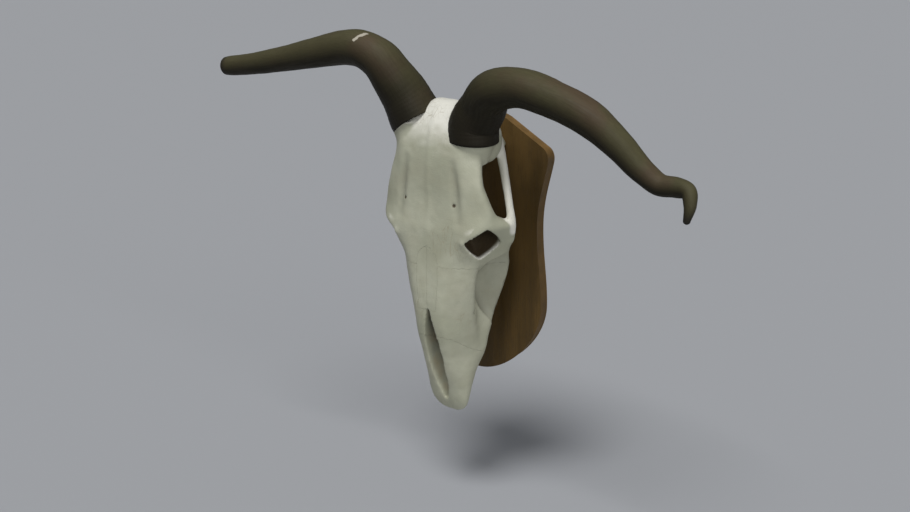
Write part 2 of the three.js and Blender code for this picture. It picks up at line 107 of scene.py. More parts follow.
floor_mesh = bpy.data.meshes.new("floor")
floor_mesh.from_pydata(
    [(x * FLOOR_REACH, y * FLOOR_REACH, FLOOR_HEIGHT)
     for x, y in ((-1, -1), (1, -1), (1, 1), (-1, 1))],
    [],
    [(0, 1, 2, 3)],
)
floor = bpy.data.objects.new("floor", floor_mesh)
bpy.context.scene.collection.objects.link(floor)
floor_paint = bpy.data.materials.new("pale floor")
floor_paint.use_nodes = True
floor_shader = floor_paint.node_tree.nodes["Principled BSDF"].inputs
floor_shader["Base Color"].default_value = FLOOR_COLOUR
floor_shader["Roughness"].default_value = 0.9
floor_mesh.materials.append(floor_paint)
floor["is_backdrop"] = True

# The shield is one board of dark oiled hardwood, sawn to an outline with a peaked top, a waist
# and a round foot. Its front edge is eased with a plane. Its edges are painted paler, for wear
# all round and for a painted highlight on the edges that face up.
SHIELD_THICK = 22
SHIELD_TOP = 219
SHIELD_SHOULDER = (47, 209)
SHIELD_CORNER = (129, 157)
SHIELD_WAIST = (110, 45)
SHIELD_HIP = (120, -88)
SHIELD_BOTTOM = -210
SHIELD_EASING = ((3.4, -22.0), (2.3, -21.8), (1.3, -21.2), (0.5, -20.2), (0.0, -18.8),
                 (0.0, -15.0), (0.0, -9.0), (0.0, -3.0), (0.0, -1.2), (0.9, 0.0))
EDGE_WEAR = 4.5
WOOD_DEEP = (0.060, 0.036, 0.0098, 1)
WOOD_LIGHT = (0.104, 0.061, 0.016, 1)
WOOD_WORN_AND_LIT = (0.22, 0.125, 0.038, 1)
# The hanger's bed in the back: half width, depth and half height. The holes for its keyhole
# are given by their height in it and radius, the pilot holes by radius and depth.
HANGER_HEIGHT = 120
HANGER_BED = (26.3, 2.6, 11.3)
KEYHOLES = (("pocket", -3, 5.6), ("slot", 7, 3))
KEYHOLE_DEEP = 9
SCREW_OUT = 19
PILOT = (1.9, 14.3)
BEHIND = 4
GAP = 0.3


def linked(name, mesh):
    piece = bpy.data.objects.new(name, mesh)
    bpy.context.scene.collection.objects.link(piece)
    return piece


def loft(name, rows):
    """A closed skin over rows of points in millimetres, each row a closed ring."""
    rows = np.asarray(rows, float)
    count, around, _ = rows.shape
    ends = np.array([rows[0].mean(0), rows[-1].mean(0)])
    points = np.vstack([rows.reshape(-1, 3), ends]) * MM
    faces = []
    for i in range(count - 1):
        for j in range(around):
            k = (j + 1) % around
            faces.append((i * around + j, i * around + k,
                          (i + 1) * around + k, (i + 1) * around + j))
    last = (count - 1) * around
    for j in range(around):
        k = (j + 1) % around
        faces.append((count * around, k, j))
        faces.append((count * around + 1, last + j, last + k))
    mesh = bpy.data.meshes.new(name)
    mesh.from_pydata(points.tolist(), [], faces)
    mesh.update()
    centre = points.mean(0)
    volume = 0.0
    for polygon in mesh.polygons:
        volume += (Vector(polygon.center) - Vector(centre)).dot(polygon.normal) * polygon.area
    if volume < 0:
        mesh.flip_normals()
    return linked(name, mesh)


def settle(piece):
    """Makes what the modifiers show the piece's own mesh."""
    shown = piece.evaluated_get(bpy.context.evaluated_depsgraph_get())
    mesh = bpy.data.meshes.new_from_object(shown)
    piece.modifiers.clear()
    piece.data = mesh
    return piece


def boolean(piece, other, operation):
    cut = piece.modifiers.new("cut", "BOOLEAN")
    cut.operation = operation
    cut.solver = "MANIFOLD"
    cut.object = other
    settle(piece)
    bpy.data.objects.remove(other)


def block(name, low, high):
    corners = [(x, y, z) for z in (low[2], high[2]) for x, y in (
        (low[0], low[1]), (high[0], low[1]), (high[0], high[1]), (low[0], high[1]))]
    return loft(name, [corners[:4], corners[4:]])


def rod(name, start, end, radii, sides=24, rings=2):
    """A round bar between two points, its radius going evenly from one to the other."""
    start, end = np.array(start, float), np.array(end, float)
    line = (end - start) / np.linalg.norm(end - start)
    helper = np.array([0.0, 0.0, 1.0]) if abs(line[2]) < 0.9 else np.array([1.0, 0.0, 0.0])
    side = np.cross(line, helper)
    side /= np.linalg.norm(side)
    up = np.cross(side, line)
    angles = np.linspace(0, 2 * math.pi, sides, endpoint=False)
    circle = np.outer(np.cos(angles), side) + np.outer(np.sin(angles), up)
    rows = []
    for share in np.linspace(0, 1, rings):
        radius = radii[0] + (radii[1] - radii[0]) * share
        rows.append(start + (end - start) * share + circle * radius)
    return loft(name, rows)


def bezier(points, count):
    """Points of a Bezier curve of any order, its first point left out."""
    t = np.linspace(0, 1, count + 1)[1:, None]
    rows = [np.repeat(np.array(p, float)[None], count, 0) for p in points]
    while len(rows) > 1:
        rows = [a + (b - a) * t for a, b in zip(rows, rows[1:])]
    return rows[0]


def shield_outline():
    cx, cz = SHIELD_CORNER
    wx, wz = SHIELD_WAIST
    hx, hz = SHIELD_HIP
    peak = (0, SHIELD_TOP)
    lean = (SHIELD_SHOULDER[0] * 0.6, SHIELD_TOP - 2)
    right = np.vstack([
        [peak],
        bezier((peak, lean, SHIELD_SHOULDER), 14),
        bezier((SHIELD_SHOULDER, (cx - 8, cz + 11)), 22),
        bezier(((cx - 8, cz + 11), (cx + 1, cz + 4), (cx - 1, cz - 9)), 12),
        bezier(((cx - 1, cz - 9), (cx - 6, cz - 36), (wx, wz + 44), (wx, wz)), 26),
        bezier(((wx, wz), (wx, wz - 52), (hx, hz + 46), (hx, hz)), 32),
        bezier(((hx, hz), (hx + 1, hz - 58), (hx * 0.45, SHIELD_BOTTOM), (0, SHIELD_BOTTOM)), 56),
    ])
    left = right[1:-1][::-1] * (-1, 1)
    return np.vstack([right, left])


def shield_rows():
    outline = shield_outline()
    along = np.roll(outline, -1, 0) - np.roll(outline, 1, 0)
    outward = np.stack([-along[:, 1], along[:, 0]], 1)
    outward /= np.linalg.norm(outward, axis=1)[:, None]
    rows = []
    for inset, depth in SHIELD_EASING:
        edge = outline + outward * inset
        rows.append(np.stack([edge[:, 0], np.full(len(edge), depth), edge[:, 1]], 1))
    return rows


shield = loft("shield", shield_rows())
bed_wide, bed_deep, bed_high = HANGER_BED
boolean(shield, block("recess", (-bed_wide, -bed_deep, HANGER_HEIGHT - bed_high),
                      (bed_wide, BEHIND, HANGER_HEIGHT + bed_high)), "DIFFERENCE")
bores = [(name, 0, -KEYHOLE_DEEP, HANGER_HEIGHT + up, radius) for name, up, radius in KEYHOLES]
bores += [("pilot", x, -PILOT[1], HANGER_HEIGHT, PILOT[0]) for x in (-SCREW_OUT, SCREW_OUT)]
for name, x, deep, z, radius in bores:
    boolean(shield, rod(name, (x, deep, z), (x, BEHIND, z), (radius, radius)), "DIFFERENCE")


def mottle_group():
    """A mask of soft patches: noise between two limits, on any coordinates."""
    group = bpy.data.node_groups.new("soft patches", "ShaderNodeTree")
    interface = group.interface
    interface.new_socket("Vector", in_out="INPUT", socket_type="NodeSocketVector")
    for name, value in (("Scale", 20.0), ("Detail", 4.0), ("Low", 0.4), ("High", 0.6)):
        interface.new_socket(name, in_out="INPUT", socket_type="NodeSocketFloat")
        interface.items_tree[name].default_value = value
    interface.new_socket("Mask", in_out="OUTPUT", socket_type="NodeSocketFloat")
    inside = group.nodes.new("NodeGroupInput")
    result = group.nodes.new("NodeGroupOutput")
    grain = group.nodes.new("ShaderNodeTexNoise")
    span = group.nodes.new("ShaderNodeMapRange")
    span.interpolation_type = "SMOOTHSTEP"
    for source, output, target, socket in (
        (inside, "Vector", grain, "Vector"), (inside, "Scale", grain, "Scale"),
        (inside, "Detail", grain, "Detail"), (grain, "Fac", span, "Value"),
        (inside, "Low", span, "From Min"), (inside, "High", span, "From Max"),
        (span, "Result", result, "Mask"),
    ):
        group.links.new(source.outputs[output], target.inputs[socket])
    return group


soft_patches = mottle_group()


class Finish:
    """A material that is put together node by node."""

    def __init__(self, name):
        self.material = bpy.data.materials.new(name)
        self.material.use_nodes = True
        self.nodes = self.material.node_tree.nodes
        self.links = self.material.node_tree.links
        self.shader = self.nodes["Principled BSDF"]
        self.place = self.nodes.new("ShaderNodeTexCoord").outputs["Object"]

    def set(self, **values):
        for name, value in values.items():
            self.shader.inputs[name.replace("_", " ")].default_value = value

    def stretched(self, source, scale):
        node = self.nodes.new("ShaderNodeMapping")
        node.inputs["Scale"].default_value = scale
        self.links.new(source, node.inputs["Vector"])
        return node.outputs["Vector"]

    def patches(self, source, scale, low, high, detail=4.0):
        node = self.nodes.new("ShaderNodeGroup")
        node.node_tree = soft_patches
        node.inputs["Scale"].default_value = scale
        node.inputs["Detail"].default_value = detail
        node.inputs["Low"].default_value = low
        node.inputs["High"].default_value = high
        self.links.new(source, node.inputs["Vector"])
        return node.outputs["Mask"]

    def mix(self, mask, first, second, blend="MIX"):
        node = self.nodes.new("ShaderNodeMix")
        node.data_type = "RGBA"
        node.blend_type = blend
        for source, socket in ((mask, 0), (first, 6), (second, 7)):
            if isinstance(source, (tuple, float)):
                node.inputs[socket].default_value = source
            else:
                self.links.new(source, node.inputs[socket])
        return node.outputs[2]

    def maths(self, operation, first, second):
        node = self.nodes.new("ShaderNodeMath")
        node.operation = operation
        for source, socket in ((first, 0), (second, 1)):
            if isinstance(source, (int, float)):
                node.inputs[socket].default_value = source
            else:
                self.links.new(source, node.inputs[socket])
        return node.outputs["Value"]

    def attribute(self, name, output="Fac"):
        node = self.nodes.new("ShaderNodeAttribute")
        node.attribute_name = name
        return node.outputs[output]

    def span(self, source, low, high, bottom=0.0, top=1.0):
        node = self.nodes.new("ShaderNodeMapRange")
        node.interpolation_type = "SMOOTHSTEP"
        for socket, value in (("From Min", low), ("From Max", high),
                              ("To Min", bottom), ("To Max", top)):
            node.inputs[socket].default_value = value
        self.links.new(source, node.inputs["Value"])
        return node.outputs["Result"]

    def bump(self, height, distance, strength=1.0):
        node = self.nodes.new("ShaderNodeBump")
        node.inputs["Distance"].default_value = distance
        node.inputs["Strength"].default_value = strength
        self.links.new(height, node.inputs["Height"])
        self.links.new(node.outputs["Normal"], self.shader.inputs["Normal"])

    def feed(self, source, socket):
        self.links.new(source, self.shader.inputs[socket])


def wood_finish(name, deep, light, worn):
    finish = Finish(name)
    grain = finish.stretched(finish.place, (34, 34, 2.6))
    figure = finish.patches(grain, 1.0, 0.34, 0.68, 5.0)
    pores = finish.patches(finish.stretched(finish.place, (900, 900, 34)), 1.0, 0.50, 0.70, 2.0)
    board = finish.mix(figure, deep, light)
    board = finish.mix(finish.maths("MULTIPLY", pores, 0.45), board,
                       tuple(0.45 * v for v in deep[:3]) + (1,))
    patchy = finish.patches(finish.place, 45, 0.30, 0.62)
    # The edge mark is wear all round and a painted highlight on the edges that face up.
    edge = finish.maths("MULTIPLY", finish.attribute("edge"), finish.span(patchy, 0, 1, 0.55, 1))
    finish.feed(finish.mix(edge, board, worn), "Base Color")
    finish.feed(finish.span(figure, 0, 1, 0.46, 0.60), "Roughness")
    finish.set(Specular_IOR_Level=0.3)
    finish.bump(finish.maths("ADD", figure, finish.maths("MULTIPLY", pores, -0.6)), 0.0004, 0.6)
    return finish.material


dark_wood = wood_finish("dark oiled hardwood", WOOD_DEEP, WOOD_LIGHT, WOOD_WORN_AND_LIT)


def smooth_by_angle(piece, degrees):
    mesh = piece.data
    mesh.shade_smooth()
    mesh.set_sharp_from_angle(angle=math.radians(degrees))


def mark(piece, name, values):
    """A value for each vertex, which a material reads by its name."""
    field = piece.data.attributes.new(name, "FLOAT", "POINT")
    field.data.foreach_set("value", np.asarray(values, np.float32))


def vertices(piece):
    flat = np.zeros(len(piece.data.vertices) * 3)
    piece.data.vertices.foreach_get("co", flat)
    return flat.reshape(-1, 3)


def outward(piece):
    flat = np.zeros(len(piece.data.vertices) * 3)
    piece.data.vertex_normals.foreach_get("vector", flat)
    return flat.reshape(-1, 3)


shield_points = vertices(shield) / MM
outline_points = shield_outline()
from_edge = np.array([np.hypot(*(outline_points - p).T).min()
                      for p in shield_points[:, (0, 2)]])
facing_up = np.clip(outward(shield)[:, 2], 0, 1)
# Paler edges: wear everywhere, and a painted highlight that grows on the edges that face up.
mark(shield, "edge", np.clip(1 - from_edge / EDGE_WEAR, 0, 1) * (0.3 + 0.7 * facing_up))
smooth_by_angle(shield, 35)
shield.data.materials.clear()
shield.data.materials.append(dark_wood)
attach(shield, "root")
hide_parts("plaque")

# The hanger is a stamped steel plate let into the shield's back, with a keyhole for the screw
# in the wall. Two short slotted screws hold it.
SCREW_HEAD = 3.6
SCREW_SHANK = 1.6
SCREW_SEED = 4
SCREW_TURNS = ((0.0, 0.0, 0.0), (0.0, 3.1, 0.0))
STEEL_BRIGHT = (0.52, 0.51, 0.49, 1)
STEEL_DULL = (0.40, 0.38, 0.35, 1)

plated_steel = Finish("plated steel")
plated_steel.set(Metallic=1.0, Specular_IOR_Level=0.5)
spots = plated_steel.patches(plated_steel.place, 160, 0.35, 0.65)
plated_steel.feed(plated_steel.mix(spots, STEEL_BRIGHT, STEEL_DULL), "Base Color")
plated_steel.feed(plated_steel.span(spots, 0, 1, 0.28, 0.46), "Roughness")

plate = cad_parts["hanger_plate"]
plate.data.materials.clear()
plate.data.materials.append(plated_steel.material)

screw = rod("one screw", (0, -0.9, 0), (0, 0, 0), (SCREW_HEAD - 0.3, SCREW_HEAD), 32)
boolean(screw, rod("shank", (0, -14, 0), (0, -0.6, 0), (0.7, SCREW_SHANK), 20, 6), "UNION")
boolean(screw, block("slot", (-0.5, -0.6, -5), (0.5, 1, 5)), "DIFFERENCE")


def row_of_copies(name, copied, count, ends, seed, varied, limits, finish):
    """Points on a line, a copy of the piece on each, turned or sized a little by chance."""
    tree = bpy.data.node_groups.new(name, "GeometryNodeTree")
    tree.interface.new_socket("Geometry", in_out="OUTPUT", socket_type="NodeSocketGeometry")
    kinds = (("Copied", "NodeSocketObject", copied), ("Count", "NodeSocketInt", count),
             ("First", "NodeSocketVector", ends[0]), ("Last", "NodeSocketVector", ends[1]),
             ("Least", "NodeSocketVector", limits[0]), ("Most", "NodeSocketVector", limits[1]),
             ("Seed", "NodeSocketInt", seed), ("Finish", "NodeSocketMaterial", finish))
    sockets = {word: tree.interface.new_socket(word, in_out="INPUT", socket_type=kind)
               for word, kind, _ in kinds}
    add, join = tree.nodes.new, tree.links.new
    inside, result = add("NodeGroupInput"), add("NodeGroupOutput")
    line, source = add("GeometryNodeMeshLine"), add("GeometryNodeObjectInfo")
    chance, spread = add("FunctionNodeRandomValue"), add("GeometryNodeInstanceOnPoints")
    real, paint = add("GeometryNodeRealizeInstances"), add("GeometryNodeSetMaterial")
    line.mode = "END_POINTS"
    chance.data_type = "FLOAT_VECTOR"
    for word, node, socket in (
        ("Copied", source, "Object"), ("Count", line, "Count"),
        ("First", line, "Start Location"), ("Last", line, "Offset"),
        ("Least", chance, "Min"), ("Most", chance, "Max"),
        ("Seed", chance, "Seed"), ("Finish", paint, "Material"),
    ):
        join(inside.outputs[word], node.inputs[socket])
    join(line.outputs["Mesh"], spread.inputs["Points"])
    join(source.outputs["Geometry"], spread.inputs["Instance"])
    join(chance.outputs[0], spread.inputs[varied])
    join(spread.outputs["Instances"], real.inputs["Geometry"])
    join(real.outputs["Geometry"], paint.inputs["Geometry"])
    join(paint.outputs["Geometry"], result.inputs["Geometry"])
    row = linked(name, bpy.data.meshes.new(name))
    nodes = row.modifiers.new(name, "NODES")
    nodes.node_group = tree
    for word, _, value in kinds:
        nodes[sockets[word].identifier] = value
    return settle(row)


screw_ends = [(side * SCREW_OUT * MM, 0.0, HANGER_HEIGHT * MM) for side in (-1, 1)]
screws = row_of_copies("hanger_screws", screw, 2, screw_ends, SCREW_SEED, "Rotation",
                       SCREW_TURNS, plated_steel.material)
bpy.data.objects.remove(screw)
smooth_by_angle(screws, 30)
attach(screws, "root")
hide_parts("hanger_screw_1", "hanger_screw_2")

# A plain turned dowel stands in the shield and reaches into the palate, to keep the muzzle off
# the board.
pale_wood = wood_finish("plain dowel wood", (0.20, 0.125, 0.060, 1), (0.32, 0.21, 0.11, 1),
                        (0.32, 0.21, 0.11, 1))
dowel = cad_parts["plaque_peg"]
dowel.data.materials.clear()
dowel.data.materials.append(pale_wood)

# The skull is dry bone, cleaned of all flesh: a broad forehead that falls back to the nape, eye
# sockets on the corners, thin arches behind them, and a long face that narrows to the muzzle.
# Each section is half a closed curve: height, front, flat, shoulder, crest, hollow, edge, back.
SKULL_SECTIONS = (
    (246, -114, (8, -113), (14, -112), (19, -108), (19, -104), (15, -98), -96),
    (240, -123, (13, -122), (22, -119), (28, -112), (29, -104), (25, -95), -92),
    (225, -134, (20, -133), (34, -130), (44, -119), (47, -107), (42, -92), -86),
    (198, -146, (30, -145), (58, -143), (78, -129), (75, -111), (58, -94), -84),
    (165, -152, (32, -151), (58, -148), (81, -129), (76, -117), (52, -106), -98),
    (130, -153, (32, -152), (60, -149), (87, -136), (82, -122), (54, -110), -102),
    (106, -153, (32, -152), (62, -149), (95, -134), (89, -118), (58, -106), -99),
    (82, -154, (32, -153), (66, -149), (102, -130), (98, -112), (62, -98), -92),
    (64, -155, (32, -154), (66, -151), (97, -140), (111, -108), (105, -82), -77),
    (52, -156, (31, -155), (60, -153), (88, -147), (108, -110), (109, -80), -69),
    (36, -156, (29, -155), (52, -153), (74, -148), (100, -105), (109, -77), -66),
    (18, -156, (28, -155), (49, -151), (73, -136), (88, -107), (100, -76), -62),
    (-2, -156, (27, -155), (44, -150), (71, -124), (75, -105), (97, -66), -60),
    (-28, -157, (25, -156), (38, -151), (67, -120), (53, -101), (91, -64), -60),
    (-58, -157, (23, -156), (34, -151), (62, -117), (49, -96), (79, -62), -60),
    (-92, -155, (21, -154), (30, -149), (57, -111), (51, -90), (66, -63), -61),
    (-125, -149, (19, -148), (29, -144), (53, -106), (54, -88), (58, -68), -66),
    (-158, -139, (17, -138), (28, -134), (48, -103), (53, -88), (54, -75), -73),
    (-190, -129, (17, -128), (28, -124), (43, -105), (46, -92), (42, -82), -80),
    (-220, -116, (17, -116), (28, -113), (39, -104), (41, -96), (36, -87), -86),
    (-246, -107, (15, -107), (26, -105), (35, -100), (35, -95), (29, -89), -88),
    (-260, -100, (11, -100), (19, -99), (26, -97), (26, -94), (20, -91), -90),
    (-266, -97, (5, -97), (9, -97), (12, -96), (12, -95), (9, -93), -93),
)
# Braincase behind the forehead: height, half width, front and back.
BRAINCASE = ((222, 34, -126, -66), (212, 56, -134, -52), (192, 67, -138, -44),
             (160, 50, -138, -46), (118, 46, -136, -50), (76, 43, -130, -56),
             (40, 38, -120, -60))
# Eye sockets: where one opens, the way it faces, its radius, how far its hollow reaches out and
# in, how its form differs from a circle, and its rim's radius, half thickness and setback.
ORBIT_CENTRE = np.array((84.0, -125.0, 36.0))
ORBIT_AXIS = np.array((0.83, -0.46, -0.30)) / np.linalg.norm((0.83, -0.46, -0.30))
ORBIT_RADIUS = 26
ORBIT_MOUTH = 20
ORBIT_DEPTH = 44
ORBIT_CORNER = 1.14
ORBIT_SQUARE = 1.22
ORBIT_STRAIGHT = 0.3
ORBIT_CLOSING = 0.78
ORBIT_RIM = (27.5, 4.2, 4.5)
# The cheek arch from under the socket to the nape, and its half width and thickness on the way.
ARCH_PATH = ((101, -82, 34), (107, -82, 60), (102, -80, 86), (87, -69, 118),
             (70, -59, 158), (54, -55, 196))
ARCH_HALF_WIDE = (10, 8, 6.5, 6.5, 7, 10)
ARCH_HALF_THICK = (9, 6.5, 6, 7, 8.5, 9)
# The nose opening: half widths down it, its top, length, front and back, and its floor's depth
# at the top and how much that changes to the bottom.
NOSE_HALF = (2, 8, 12.5, 14.5, 14.5, 13.5, 6)
NOSE_TOP = -78
NOSE_LONG = 166
NOSE_FRONT = -185
NOSE_BACK = -88
NOSE_FLOOR = (-112, 14)
# Vessel holes: their two ends, and the radii there.
BROW_HOLE = ((51, -160, 96), (44, -136, 90), (2.7, 2.2))
CHEEK_HOLE = ((66, -112, -92), (48, -100, -76), (5, 3))
PEG_RADIUS = 11
PEG_HEIGHT = -70
PEG_END = -78
# Horn sheaths: distance out, forward and up of the middle line, and the radius there.
HORN_LEFT = ((56, 112, 190, 39), (58, 112, 214, 38.5), (76, 116, 240, 36), (94, 126, 262, 33),
             (117, 133, 274, 31.3), (160, 136, 280, 28.7), (215, 133, 268, 27.4),
             (271, 128, 246, 25.6), (315, 123, 214, 21.5), (352, 118, 181, 18),
             (377, 116, 166, 15.2), (403, 117, 166, 14), (424, 122, 164, 11.4),
             (431, 129, 148, 9.2), (429, 134, 122, 4.5))
HORN_RIGHT = ((56, 112, 213, 42), (71, 118, 245, 38.5), (85, 131, 274, 35),
              (103, 141, 301, 31.7), (130, 147, 315, 29.4), (164, 152, 316, 27),
              (216, 158, 306, 24), (276, 163, 293, 21), (342, 168, 280, 18),
              (405, 172, 271, 16), (422, 173, 269, 14.5))
HORN_LEFT_BASE = (0.1, -0.08, 0.99)
HORN_RIGHT_BASE = (-0.58, -0.17, 0.79)
VOXEL = 2.0 * MM
FACE_ROWS = 180
FACE_AROUND = 168
FACE_CORNERS = 12


def through(values, shares):
    """A smooth curve through evenly spaced values, read at shares of its length."""
    values = np.asarray(values, float)
    flat = values.ndim == 1
    if flat:
        values = values[:, None]
    last = len(values) - 1
    place = np.clip(np.atleast_1d(shares), 0, 1) * last
    i = np.minimum(place.astype(int), last - 1)
    t = (place - i)[:, None]
    a, b, c, d = (values[np.clip(i + k, 0, last)] for k in (-1, 0, 1, 2))
    u, v = (c - a) / 2, (d - b) / 2
    found = (2 * b - 2 * c + u + v) * t**3 + (3 * c - 3 * b - 2 * u - v) * t**2 + u * t + b
    return found[:, 0] if flat else found


def centripetal(points, places, closed):
    """A smooth line through unevenly spaced points, read at places counted in points."""
    points = np.asarray(points, float)
    if not closed:
        points = np.vstack([2 * points[0] - points[1], points, 2 * points[-1] - points[-2]])
        i = np.minimum(places.astype(int), len(points) - 4)
        picks = [points[i + k] for k in range(4)]
    else:
        i = places.astype(int)
        picks = [points[(i + k) % len(points)] for k in (-1, 0, 1, 2)]
    t = (places - i)[:, None]
    a, b, c, d = picks
    e, f, g = (np.maximum(np.linalg.norm(q - p, axis=1), 1e-6)[:, None] ** 0.5
               for p, q in ((a, b), (b, c), (c, d)))
    u = ((b - a) / e - (c - a) / (e + f) + (c - b) / f) * f
    v = ((c - b) / f - (d - b) / (f + g) + (d - c) / g) * f
    return (2 * b - 2 * c + u + v) * t**3 + (3 * c - 3 * b - 2 * u - v) * t**2 + u * t + b


def face_loft():
    shares = np.linspace(0, 1, FACE_ROWS)
    columns = [through([s[k] for s in SKULL_SECTIONS], shares) for k in range(8)]
    places = np.arange(FACE_AROUND) / FACE_AROUND * FACE_CORNERS
    rows = []
    for i in range(len(shares)):
        half = [columns[k][i] for k in range(2, 7)]
        ring = [(0, columns[1][i]), *half, (0, columns[7][i])]
        ring += [(-x, y) for x, y in half[::-1]]
        flat = centripetal(ring, places, True)
        rows.append(np.column_stack([flat, np.full(len(flat), columns[0][i])]))
    return loft("face", rows)


def braincase_loft():
    shares = np.linspace(0, 1, 46)
    high, half, front, back = (through([s[k] for s in BRAINCASE], shares) for k in range(4))
    angles = np.linspace(0, 2 * math.pi, 72, endpoint=False)
    rows = []
    for z, w, f, b in zip(high, half, front, back):
        rows.append(np.column_stack([w * np.sin(angles),
                                     (f + b) / 2 - (b - f) / 2 * np.cos(angles),
                                     np.full(72, z)]))
    return loft("braincase", rows)


def arch_loft():
    places = np.linspace(0, 5, 70)
    middle = centripetal(ARCH_PATH, places, False)
    wide = through(ARCH_HALF_WIDE, places / 5)
    thick = through(ARCH_HALF_THICK, places / 5)
    angles = np.linspace(0, 2 * math.pi, 28, endpoint=False)
    rows = []
    for point, line, half, deep in zip(middle, np.gradient(middle, axis=0), wide, thick):
        line /= np.linalg.norm(line)
        out = np.array((1, -0.35, 0)) - line * np.dot((1, -0.35, 0), line)
        out /= np.linalg.norm(out)
        side = np.cross(out, line)
        rows.append(point + half * np.outer(np.sin(angles), side)
                    + deep * np.outer(np.cos(angles), out))
    return loft("arch", rows)


def ball(name, middle, half, turn=0.0):
    angles = np.linspace(0, 2 * math.pi, 40, endpoint=False)
    c, s = math.cos(turn), math.sin(turn)
    rows = []
    for tilt in np.linspace(0.06, math.pi - 0.06, 24):
        x = half[0] * math.sin(tilt) * np.cos(angles)
        y = half[1] * math.sin(tilt) * np.sin(angles)
        rows.append(np.column_stack([middle[0] + c * x - s * y, middle[1] + s * x + c * y,
                                     np.full(40, middle[2] + half[2] * math.cos(tilt))]))
    return loft(name, rows)


def diamond(angles):
    """How far a rounded diamond with straight sides reaches, for a circle of 1."""
    power = np.abs(np.cos(angles)) ** ORBIT_SQUARE + np.abs(np.sin(angles)) ** ORBIT_SQUARE
    return ORBIT_CORNER * power ** (-1 / ORBIT_SQUARE)


def across_and_up(axis):
    """The directions across and up an opening that faces along the axis."""
    side = np.cross((0, 0, 1), axis)
    side /= np.linalg.norm(side)
    return side, np.cross(axis, side)


def ring_of_bone(name, middle, axis, radius, thick):
    """A ring with no ends, of the socket's rounded diamond form, for its raised rim."""
    side, up = across_and_up(axis)
    points, faces = [], []
    for i in range(72):
        a = 2 * math.pi * i / 72
        out = (math.sin(a) * side + math.cos(a) * up) * diamond(a)
        for j in range(16):
            b = 2 * math.pi * j / 16
            points.append((middle + (radius + thick * math.cos(b)) * out
                           + thick * math.sin(b) * axis) * MM)
            k, m = (i + 1) % 72, (j + 1) % 16
            faces.append((i * 16 + j, k * 16 + j, k * 16 + m, i * 16 + m))
    mesh = bpy.data.meshes.new(name)
    mesh.from_pydata([tuple(p) for p in points], [], faces)
    mesh.update()
    test = mesh.polygons[0]
    first = Vector((up * radius * ORBIT_CORNER + middle) * MM)
    if (Vector(test.center) - first).dot(test.normal) < 0:
        mesh.flip_normals()
    return linked(name, mesh)


def socket_hollow():
    """A rounded diamond that narrows inwards."""
    side, up = across_and_up(ORBIT_AXIS)
    angles = np.linspace(0, 2 * math.pi, 60, endpoint=False)
    rows = []
    for share in np.linspace(0, 1, 30):
        narrow = math.sqrt(1 - (max(0, share - ORBIT_STRAIGHT) / ORBIT_CLOSING) ** 2)
        wide = ORBIT_RADIUS * narrow * diamond(angles)
        reach = ORBIT_MOUTH - (ORBIT_MOUTH + ORBIT_DEPTH) * share
        rows.append(ORBIT_CENTRE + ORBIT_AXIS * reach + (wide * np.sin(angles))[:, None] * side
                    - (wide * np.cos(angles))[:, None] * up)
    return loft("socket", rows)


def nose_hollow():
    angles = np.linspace(0, 2 * math.pi, 48, endpoint=False)
    rows = []
    for share in np.linspace(0, 1, 60):
        deep = (NOSE_FLOOR[0] + NOSE_FLOOR[1] * share - NOSE_FRONT) / 2
        wide = through(NOSE_HALF, share)[0]
        rows.append(np.column_stack([wide * np.sin(angles),
                                     NOSE_FRONT + deep - deep * np.cos(angles),
                                     np.full(48, NOSE_TOP - NOSE_LONG * share)]))
    return loft("nose", rows)


def both_sides(piece):
    """The piece and its mirror image, as one mesh."""
    other = piece.data.copy()
    other.transform(((-1, 0, 0, 0), (0, 1, 0, 0), (0, 0, 1, 0), (0, 0, 0, 1)))
    other.flip_normals()
    return together([piece, linked(piece.name + " mirrored", other)])


def together(pieces):
    """Several meshes in one object, still overlapping."""
    points, faces, start = [], [], 0
    for piece in pieces:
        found = vertices(piece)
        points.append(found)
        faces += [tuple(start + v for v in p.vertices) for p in piece.data.polygons]
        start += len(found)
    mesh = bpy.data.meshes.new(pieces[0].name)
    mesh.from_pydata(np.vstack(points).tolist(), [], faces)
    mesh.update()
    for piece in pieces:
        bpy.data.objects.remove(piece)
    return linked(mesh.name, mesh)


def fused(piece, voxel, rounds):
    """One skin over overlapping solids, softened."""
    skin = piece.modifiers.new("skin", "REMESH")
    skin.mode = "VOXEL"
    skin.voxel_size = voxel
    soften = piece.modifiers.new("soften", "SMOOTH")
    soften.factor = 0.5
    soften.iterations = rounds
    return settle(piece)


def horn_rows(stations, side, base, grow, steps, sides):
    places = np.linspace(0, len(stations) - 1, steps)
    points = [(side * out, -forward, up) for out, forward, up, _ in stations]
    middle = centripetal(points, places, False)
    radii = through([s[3] for s in stations], places / (len(stations) - 1)) + grow
    lines = np.gradient(middle, axis=0)
    lines[0] = base
    angles = np.linspace(0, 2 * math.pi, sides, endpoint=False)
    rows = []
    for i, (point, line, radius) in enumerate(zip(middle, lines, radii)):
        line = line / np.linalg.norm(line)
        normal = np.array((0.0, -1.0, 0.0)) + line * line[1]
        normal /= np.linalg.norm(normal)
        across = np.cross(normal, line)
        if i == 0:
            point = point - line * grow
        rows.append(point + radius * (np.outer(np.sin(angles), across)
                                      + np.outer(np.cos(angles), normal)))
    return rows


